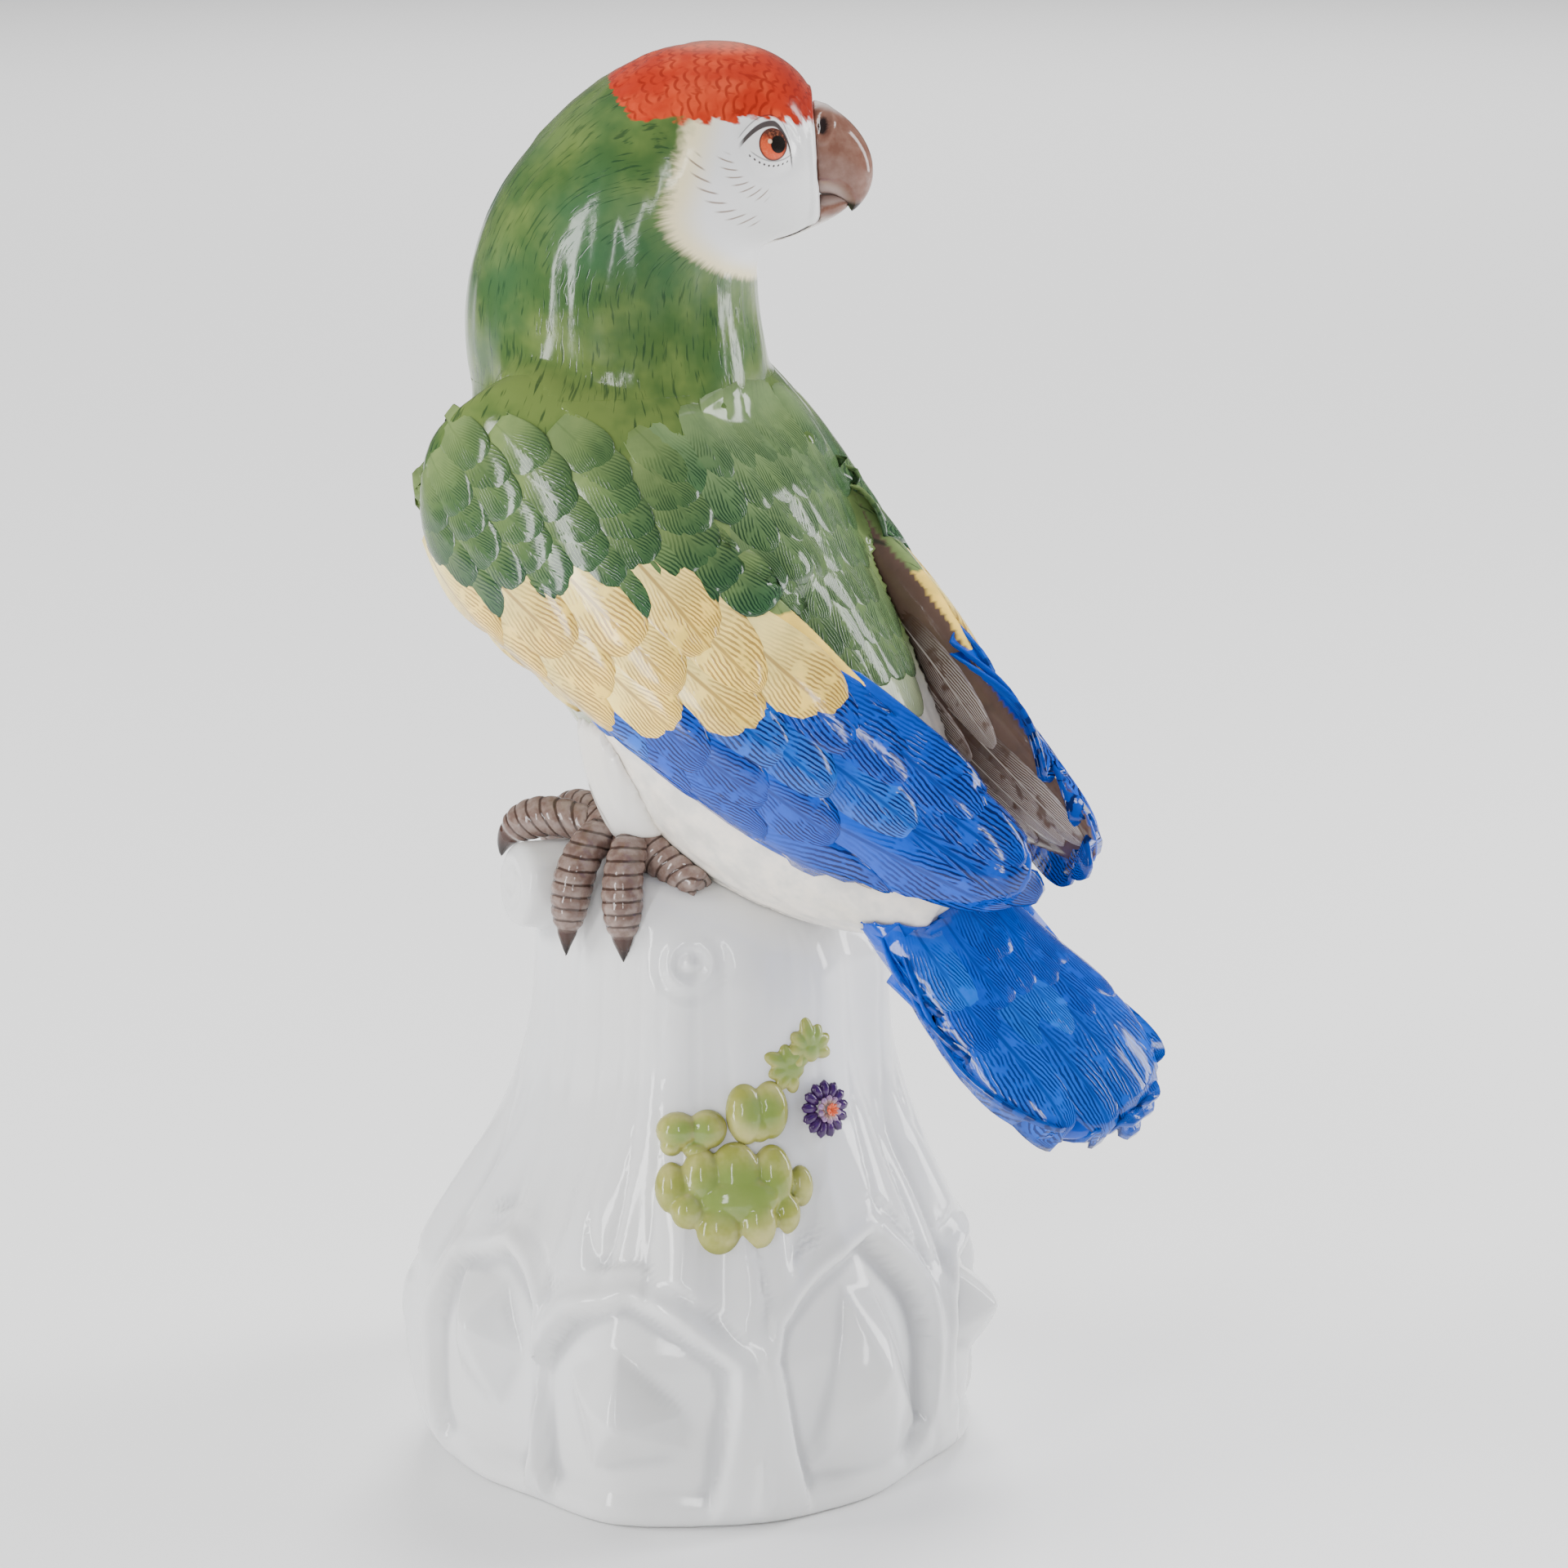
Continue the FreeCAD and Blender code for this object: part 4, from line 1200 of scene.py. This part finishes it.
# The red crown ends at one level over the eyes, lifts behind them and dips at the forehead.
CROWN = {
    "level": 305.5,
    "rear": -11.0,
    "rear_lift": 0.1,
    "fore": 12.0,
    "fore_dip": 0.01,
    "back": -20.5,
    # heights over which a painted highlight pales the crown's top, in millimetres
    "painted_highlight_heights": (317.5, 321.5),
}
# The white face reaches furthest back beside the eye, and its edge runs forward under the cheek.
FACE = {"eye_level": 286.0, "back": -7.0, "cheek_curve": 0.065, "brow_slope": 0.27}


def crown_edge(x):
    behind = np.maximum(CROWN["rear"] - x, 0)
    ahead = np.maximum(x - CROWN["fore"], 0)
    return CROWN["level"] + CROWN["rear_lift"] * behind**2 - CROWN["fore_dip"] * ahead**2


def face_edge(z):
    below = np.maximum(FACE["eye_level"] - z, 0)
    above = np.maximum(z - FACE["eye_level"], 0)
    return FACE["back"] + FACE["cheek_curve"] * below ** 2 + FACE["brow_slope"] * above


def make_head(glaze, fine):
    mesh = cut_at(fine, SEAM_Z, True)
    co, normals = points_and_normals(mesh)
    x, z = co[:, 0] / MM, co[:, 2] / MM
    crown = np.minimum(z - crown_edge(x), (x - CROWN["back"]) * 0.9)
    face = x - face_edge(z)
    # painted highlight: pales the crown towards its top
    crown_top_highlight = smooth(z, *CROWN["painted_highlight_heights"])
    look = np.zeros_like(co)
    relief = np.zeros(len(co))
    for side in (-1, 1):
        centre, fore, rise = eye_frame(side)
        mine = (co[:, 1] - HEAD_AXIS) * side > 0
        rel = (co[mine] - np.array(centre)) / MM
        a, b = rel @ np.array(fore), rel @ np.array(rise)
        away = np.linalg.norm(rel, axis=1)
        look[mine] = np.stack([a, b, away], 1)
        lid = EYE["lid_top"] - EYE["lid_back"] * a * a
        ridge = 0.55 * np.exp(-(((b - lid - 1.0) / 0.7) ** 2)) * smooth(-away, -9.5, -6)
        ball = 0.75 * np.exp(-((away / 4.4) ** 2))
        socket = -0.4 * np.exp(-(((away - 7.2) / 1.6) ** 2))
        relief[mine] = ridge * (b > -1) + ball + socket
    plumed = (1 - smooth(face, -2, 2)) * smooth(z, SEAM_Z / MM, SEAM_Z / MM + 6)
    relief += 0.22 * smooth(z, SEAM_Z / MM, SEAM_Z / MM + 10)
    moved = co + normals * relief[:, None] * MM
    shaped = streaks(moved, normals, UP, 6 * MM, 0.35 * MM)
    set_points(mesh, moved + (shaped - moved) * plumed[:, None])
    put_vectors(mesh, "zone", np.stack([crown, face, crown_top_highlight], 1))
    put_vectors(mesh, "look", look)
    put_vectors(mesh, "flow", neck_flow(co))
    hand_over("painted_head", mesh, glaze, "painted_head", "head")


def make_wing(side, glaze, whole_tree):
    panel = wing_panel(side)
    skin = skin_of((f"{side}_wing",), "under feathers")
    co, normals = points_and_normals(skin)
    far, wide, _ = panel.measure(co)
    paint, ink = wing_paint(far, wide)
    inner = ((normals @ np.array(panel.out) < -0.5) & (far > INNER_FROM))[:, None]
    paint = np.where(inner, np.array(QUILL_BROWN), paint)
    set_points(skin, co - normals * (0.25 * MM))
    coat = Coat()
    bare = wing_zone(far, wide)[:, None] == 0
    paint = np.where(bare & ~inner, back_green(co), paint)
    mark = np.where(bare, np.array((0, 0, 0.75)), np.zeros(3))
    coat.add_skin(skin, paint=paint, ink=ink, mark=mark, flow=skin_flow(co))
    lay_wing(coat, whole_tree, panel)
    lay_quills(coat, tree_of(skin), panel)
    hand_over(f"{side}_wing_feathers", coat.mesh(), glaze, "painted_wing", f"{side}_wing")


def make_tail(glaze):
    panel = Panel("tail", bird(0, -52, 147), bird(0, -113.5, 99), bird(0, -0.62, 0.79))
    skin = skin_of(("tail",), "under feathers")
    co, normals = points_and_normals(skin)
    coat = Coat()
    set_points(skin, co - normals * (0.4 * MM))
    coat.add_skin(skin, paint=COBALT, ink=BLUE_INK)
    lay_tail(coat, tree_of(skin), panel)
    hand_over("tail_feathers", coat.mesh(), glaze, "painted_tail", "tail")


def make_thigh(side, glaze):
    mesh = skin_of((f"{side}_thigh",), "thigh")
    co, normals = points_and_normals(mesh)
    grown = co + normals * (0.7 * MM)
    set_points(mesh, streaks(grown, normals, bird(0, -0.2, -1), 5 * MM, 0.7 * MM))
    hand_over(f"{side}_thigh_down", mesh, glaze, "white_down", f"{side}_thigh")


NOSTRIL = Vector((27.6 * MM, 5.9 * MM, 302.6 * MM))
HOOK = Vector((33.9 * MM, HEAD_AXIS, 282.6 * MM))


def make_beak(part, glaze):
    mesh = skin_of((f"{part}_beak",), "beak")
    co, normals = points_and_normals(mesh)
    mirrored = co.copy()
    mirrored[:, 1] = HEAD_AXIS - np.abs(co[:, 1] - HEAD_AXIS)
    rel = (mirrored - np.array(NOSTRIL)) / MM
    hole = np.sqrt((rel[:, 0] / 1.15) ** 2 + ((rel[:, 2] - 0.15 * rel[:, 0]) / 1.9) ** 2)
    tip = np.linalg.norm(co - np.array(HOOK), axis=1) / MM
    mark = np.zeros_like(co)
    if part == "upper":
        dent = np.exp(-(hole**2)) * 0.9
        lip = 0.3 * np.exp(-(((hole - 1.7) / 0.45) ** 2))
        set_points(mesh, co + normals * ((lip - dent) * MM)[:, None])
        # painted highlight: the upper beak whitened where it faces up
        mark[:, 0] = 0.75 * smooth(normals[:, 2], 0.72, 0.98)
        mark[:, 1] = np.maximum(smooth(-hole, -1.15, -0.8), smooth(-tip, -4.5, -2.5))
        mark[:, 2] = 0.7 * smooth(-normals[:, 2], 0.45, 0.8)
    else:
        mark[:, 0] = smooth(-co[:, 2] / MM, -283.5, -279)
        mark[:, 2] = 0.6 * smooth(normals[:, 2], 0.3, 0.7)
    put_vectors(mesh, "mark", mark)
    hand_over(f"painted_{part}_beak", mesh, glaze, "painted_beak", f"{part}_beak")


def make_foot_part(node, glaze):
    mesh = skin_of((node,), "foot")
    co, normals = points_and_normals(mesh)
    shank_low, shank_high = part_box(f"{node.split('_')[0]}_foot")
    root = np.array((shank_low + shank_high) / 2)
    reach = np.linalg.norm(co - root, axis=1)
    is_toe = "toe" in node
    tip = co[reach.argmax()] if is_toe else co[co[:, 2].argmin()]
    far = np.linalg.norm(co - tip, axis=1) / MM
    claw = smooth(-far, -7.4, -6.2) if is_toe else np.zeros(len(co))
    plates = np.abs(np.cos(np.pi * far / SCUTE)) ** 0.6 * (1 - claw)
    pinch = 0.35 * np.exp(-(((far - 7.2) / 0.9) ** 2)) if is_toe else 0
    set_points(mesh, co + normals * ((0.38 * plates - pinch - 0.1) * MM)[:, None])
    put_vectors(mesh, "mark", np.stack([far, claw, 1 - claw], 1))
    hand_over(f"{node}_scaled", mesh, glaze, "painted_feet", node)


# ---------------------------------------------------------------- applied leaves and flower
# Lobes of each leaf as (across, up, half across, half up), in shares of its half width and length.
PLUMP_LEAF = (
    (0.00, 0.29, 0.31, 0.58),
    (-0.41, 0.29, 0.24, 0.52),
    (0.47, 0.27, 0.24, 0.52),
    (-0.78, 0.18, 0.20, 0.42),
    (-0.62, -0.22, 0.19, 0.30),
    (-0.25, -0.58, 0.27, 0.40),
    (0.24, -0.50, 0.22, 0.42),
    (0.60, -0.38, 0.19, 0.34),
    (0.84, 0.06, 0.15, 0.34),
    (0.0, -0.1, 0.5, 0.4),
)
LEFT_LEAF = (
    (-0.40, 0.12, 0.55, 0.62),
    (0.42, 0.16, 0.52, 0.66),
    (-0.55, -0.42, 0.30, 0.36),
    (0.12, -0.60, 0.34, 0.30),
)
RIGHT_LEAF = (
    (-0.38, 0.0, 0.55, 0.90),
    (0.38, 0.05, 0.55, 0.86),
    (0.02, -0.45, 0.40, 0.45),
)
LEAVES = {
    "leaf_large": PLUMP_LEAF,
    "leaf_small_left": LEFT_LEAF,
    "leaf_small_right": RIGHT_LEAF,
    "leaf_upper": None,
    "leaf_side": None,
}
LEAF_TURN = {"leaf_upper": 8, "leaf_side": 60}  # how far a leaf of pointed lobes leans, in degrees


def applied_frame(node):
    """Centre of an applied piece, and axes off the bark, up it and across it, with half sizes."""
    co = points_of(NODES[node].data)
    centre = Vector(co.mean(0))
    out = Vector((centre.x, centre.y, 0)).normalized()
    out = (out + UP * 0.28).normalized()
    up = (UP - out * out.z).normalized()
    across = up.cross(out)
    rel = co - np.array(centre)
    half_up = np.abs(rel @ np.array(up)).max()
    half_across = np.abs(rel @ np.array(across)).max()
    return centre, out, up, across, half_up, half_across


def add_lump(bm, bark, centre, out, up, across, halves):
    """A plump ellipsoid pressed on the bark. halves are across, up and off the bark."""
    hit, _, _, _ = bark.ray_cast(centre + out * (30 * MM), -out, 60 * MM)
    centre = hit or centre
    ball = bmesh.ops.create_icosphere(bm, subdivisions=3, radius=1)
    for vert in ball["verts"]:
        c = vert.co.copy()
        vert.co = centre + across * (c.x * halves[0]) + up * (c.y * halves[1]) + out * (c.z * halves[2])


def make_leaf(node, lobes, bark, glaze):
    centre, out, up, across, half_up, half_across = applied_frame(node)
    bm = bmesh.new()
    if lobes:
        for x, y, wide, tall in lobes:
            spot = centre + across * (x * half_across) + up * (y * half_up)
            plump = min(3.4 * MM, wide * half_across * 0.62 + 0.7 * MM)
            halves = (wide * half_across * 1.08, tall * half_up * 1.08, plump)
            add_lump(bm, bark, spot, out, up, across, halves)
    else:
        turn = math.radians(LEAF_TURN[node])
        tip = up * math.cos(turn) - across * math.sin(turn)
        side = tip.cross(out)
        reach = max(half_up, half_across)
        for k in range(-3, 4):
            angle = math.radians(k * 40)
            ray = tip * math.cos(angle) + side * math.sin(angle)
            long = reach * (0.52 if k == 0 else 0.40)
            root = centre - tip * (reach * 0.15)
            add_lump(bm, bark, root + ray * long, out, ray, ray.cross(out), (reach * 0.24, long, 1.4 * MM))
        halves = (reach * 0.36, reach * 0.5, 1.5 * MM)
        add_lump(bm, bark, centre - tip * (reach * 0.1), out, tip, side, halves)
    mesh = remeshed(mesh_from(bm), (0.45 if node == "leaf_large" else 0.32) * MM, 3 if lobes else 2)
    co, normals = points_and_normals(mesh)
    rel = co - np.array(centre)
    a, b = rel @ np.array(across) / half_across, rel @ np.array(up) / half_up
    mark = np.zeros_like(co)
    facing = smooth(normals @ np.array(out), 0.55, 0.95)
    mark[:, 0] = facing * (1 - smooth(np.hypot(a * 0.8, b - 0.05), 0.25, 0.85))
    mark[:, 1] = (1 - facing) * 0.5
    put_vectors(mesh, "mark", mark)
    hand_over(f"{node}_modelled", mesh, glaze, "leaf_green", node)


# Each ring of petals: node, slot, (material, paint within, paint without, ink), number of petals,
# radius of the ring, a petal's half sizes outwards, round the ring and off the bark, and how far
# the ring stands off the bark, in millimetres.
FLOWER = (
    (
        "flower_outer",
        "flower_violet",
        ("glazed_violet", (0.08, 0.03, 0.13), (0.040, 0.010, 0.080), (0.012, 0.003, 0.03)),
        13,
        4.3,
        (2.15, 1.45, 1.15),
        0.2,
    ),
    (
        "flower_inner",
        "flower_pale",
        ("glazed_pale_violet", (0.60, 0.46, 0.36), (0.30, 0.17, 0.36), (0.10, 0.03, 0.16)),
        10,
        2.05,
        (1.15, 0.85, 0.8),
        1.6,
    ),
    (
        "flower_heart",
        "flower_orange",
        ("glazed_orange", (0.80, 0.16, 0.06), (0.62, 0.07, 0.03), (0.85, 0.35, 0.20)),
        8,
        0.75,
        (0.75, 0.5, 0.7),
        2.5,
    ),
)


def make_ring(node, slot, glaze, centre, axes, petals, ring, halves, dome):
    out, up, across = axes
    bm = bmesh.new()
    layer = bm.verts.layers.float_vector.new("mark")
    for k in range(petals):
        turn = 2 * math.pi * (k + 0.3 * (node == "flower_inner")) / petals
        ray = across * math.cos(turn) + up * math.sin(turn)
        side = out.cross(ray)
        ball = bmesh.ops.create_icosphere(bm, subdivisions=3, radius=1)
        for vert in ball["verts"]:
            c = vert.co.copy()
            pinch = 0.62 + 0.38 * (c.x + 1) / 2
            crimp = 1 + 0.08 * math.cos(c.y * 9) * (c.x > 0.2)
            reach = ring + c.x * halves[0] * crimp
            lift = dome * (1 + 0.3 * c.x) + c.z * halves[2]
            vert.co = centre + ray * reach + side * (c.y * halves[1] * pinch) + out * lift
            vert[layer] = ((c.x + 1) / 2, turn + c.y * 0.25, 0)
    hand_over(f"{node}_petals", mesh_from(bm), glaze, slot, node)


def make_flower():
    low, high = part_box("flower_outer")
    centre = (low + high) / 2
    heart_low, heart_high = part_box("flower_heart")
    out = ((heart_low + heart_high) / 2 - centre).normalized()
    up = (UP - out * out.z).normalized()
    axes = (out, up, up.cross(out))
    for node, slot, look, petals, ring, halves, dome in FLOWER:
        halves = [half * MM for half in halves]
        make_ring(node, slot, petal_glaze(*look), centre, axes, petals, ring * MM, halves, dome * MM)


# ---------------------------------------------------------------- studio
FLOOR_HALF = 12.0
MIDDLE = (0.01, 0, 0.17)  # the lamps are aimed at the middle of the figure
# Soft lamps: name, place, (width, height), power in watts, and whether the glaze mirrors them.
LAMPS = (
    ("window", (-0.85, -0.95, 0.42), (0.17, 0.85), 8, True),
    ("strip", (0.12, -1.35, 0.62), (0.08, 0.6), 2.6, True),
    ("side", (1.0, 0.25, 0.5), (0.25, 0.8), 7, True),
    ("fill_left", (-1.7, -0.2, 0.9), (1.0, 1.2), 30, False),
    ("fill_top", (0.1, 0.3, 2.0), (1.2, 1.2), 16, False),
    ("fill_right", (1.7, 0.2, 0.8), (0.9, 1.0), 20, False),
    ("fill_back", (0.3, 3.4, 2.9), (2.0, 1.6), 190, False),
    ("fill_front", (-0.5, -2.4, 0.7), (0.8, 0.8), 14, False),
)


def make_stage():
    mesh = bpy.data.meshes.new("floor")
    corners = [(x * FLOOR_HALF, y * FLOOR_HALF, 0) for x, y in ((-1, -1), (1, -1), (1, 1), (-1, 1))]
    mesh.from_pydata(corners, [], [(0, 1, 2, 3)])
    floor = bpy.data.objects.new("floor", mesh)
    bpy.context.scene.collection.objects.link(floor)
    g = Graph("pale_floor")
    g.wire(g.shader.inputs["Base Color"], (0.93, 0.93, 0.93))
    g.wire(g.shader.inputs["Roughness"], 0.7)
    mesh.materials.append(g.material)


def aim(obj, target):
    obj.rotation_euler = (Vector(target) - obj.location).to_track_quat("-Z", "Y").to_euler()


def add_softbox(name, place, size, power, mirrored):
    light = bpy.data.lights.new(name, "AREA")
    light.shape = "RECTANGLE"
    light.size, light.size_y = size
    light.energy = power
    lamp = bpy.data.objects.new(name, light)
    lamp.location = place
    lamp.visible_glossy = mirrored
    bpy.context.scene.collection.objects.link(lamp)
    aim(lamp, MIDDLE)


def make_lights():
    world = bpy.data.worlds.new("studio")
    bpy.context.scene.world = world
    world.use_nodes = True
    background = world.node_tree.nodes["Background"]
    background.inputs["Color"].default_value = (1.0, 1.0, 1.0, 1)
    background.inputs["Strength"].default_value = 0.22
    for lamp in LAMPS:
        add_softbox(*lamp)


# The camera looks down a little at a point beside the figure's axis, from this far.
CAMERA = {"target": (0.019, 0, 0.155), "elevation": math.radians(15), "distance": 0.985, "lens": 100}


def make_camera():
    data = bpy.data.cameras.new("camera")
    data.lens = CAMERA["lens"]
    data.sensor_width = 36
    camera = bpy.data.objects.new("camera", data)
    target = Vector(CAMERA["target"])
    elevation = CAMERA["elevation"]
    back = Vector((0, -math.cos(elevation), math.sin(elevation)))
    camera.location = target + back * CAMERA["distance"]
    bpy.context.scene.collection.objects.link(camera)
    aim(camera, target)
    bpy.context.scene.camera = camera


# ---------------------------------------------------------------- making it all
make_camera()
make_lights()
make_stage()

white = white_glaze("glazed_white")
warm = white_glaze("glazed_warm_white", WARM_WHITE)
plumage = plumage_glaze()
beak = beak_glaze()
feet = foot_glaze()
leaf = leaf_glaze()

bark_tree = make_stump(white)
NODES["base_plate"].data.materials.clear()
NODES["base_plate"].data.materials.append(white)

fine_form, whole_form = body_forms()
whole_form_tree = tree_of(whole_form)
wing_trees = [tree_of(NODES[f"{side}_wing"].data) for side in ("left", "right")]
make_torso(plumage, fine_form, whole_form_tree, wing_trees)
make_head(head_glaze(EYE), fine_form)
for side in ("left", "right"):
    make_wing(side, plumage, whole_form_tree)
    make_thigh(side, warm)
    for node in NODES:
        if node.startswith(f"{side}_toe") or node == f"{side}_foot":
            make_foot_part(node, feet)
make_tail(plumage)
make_beak("upper", beak)
make_beak("lower", beak)
for node, lobes in LEAVES.items():
    make_leaf(node, lobes, bark_tree, leaf)
make_flower()
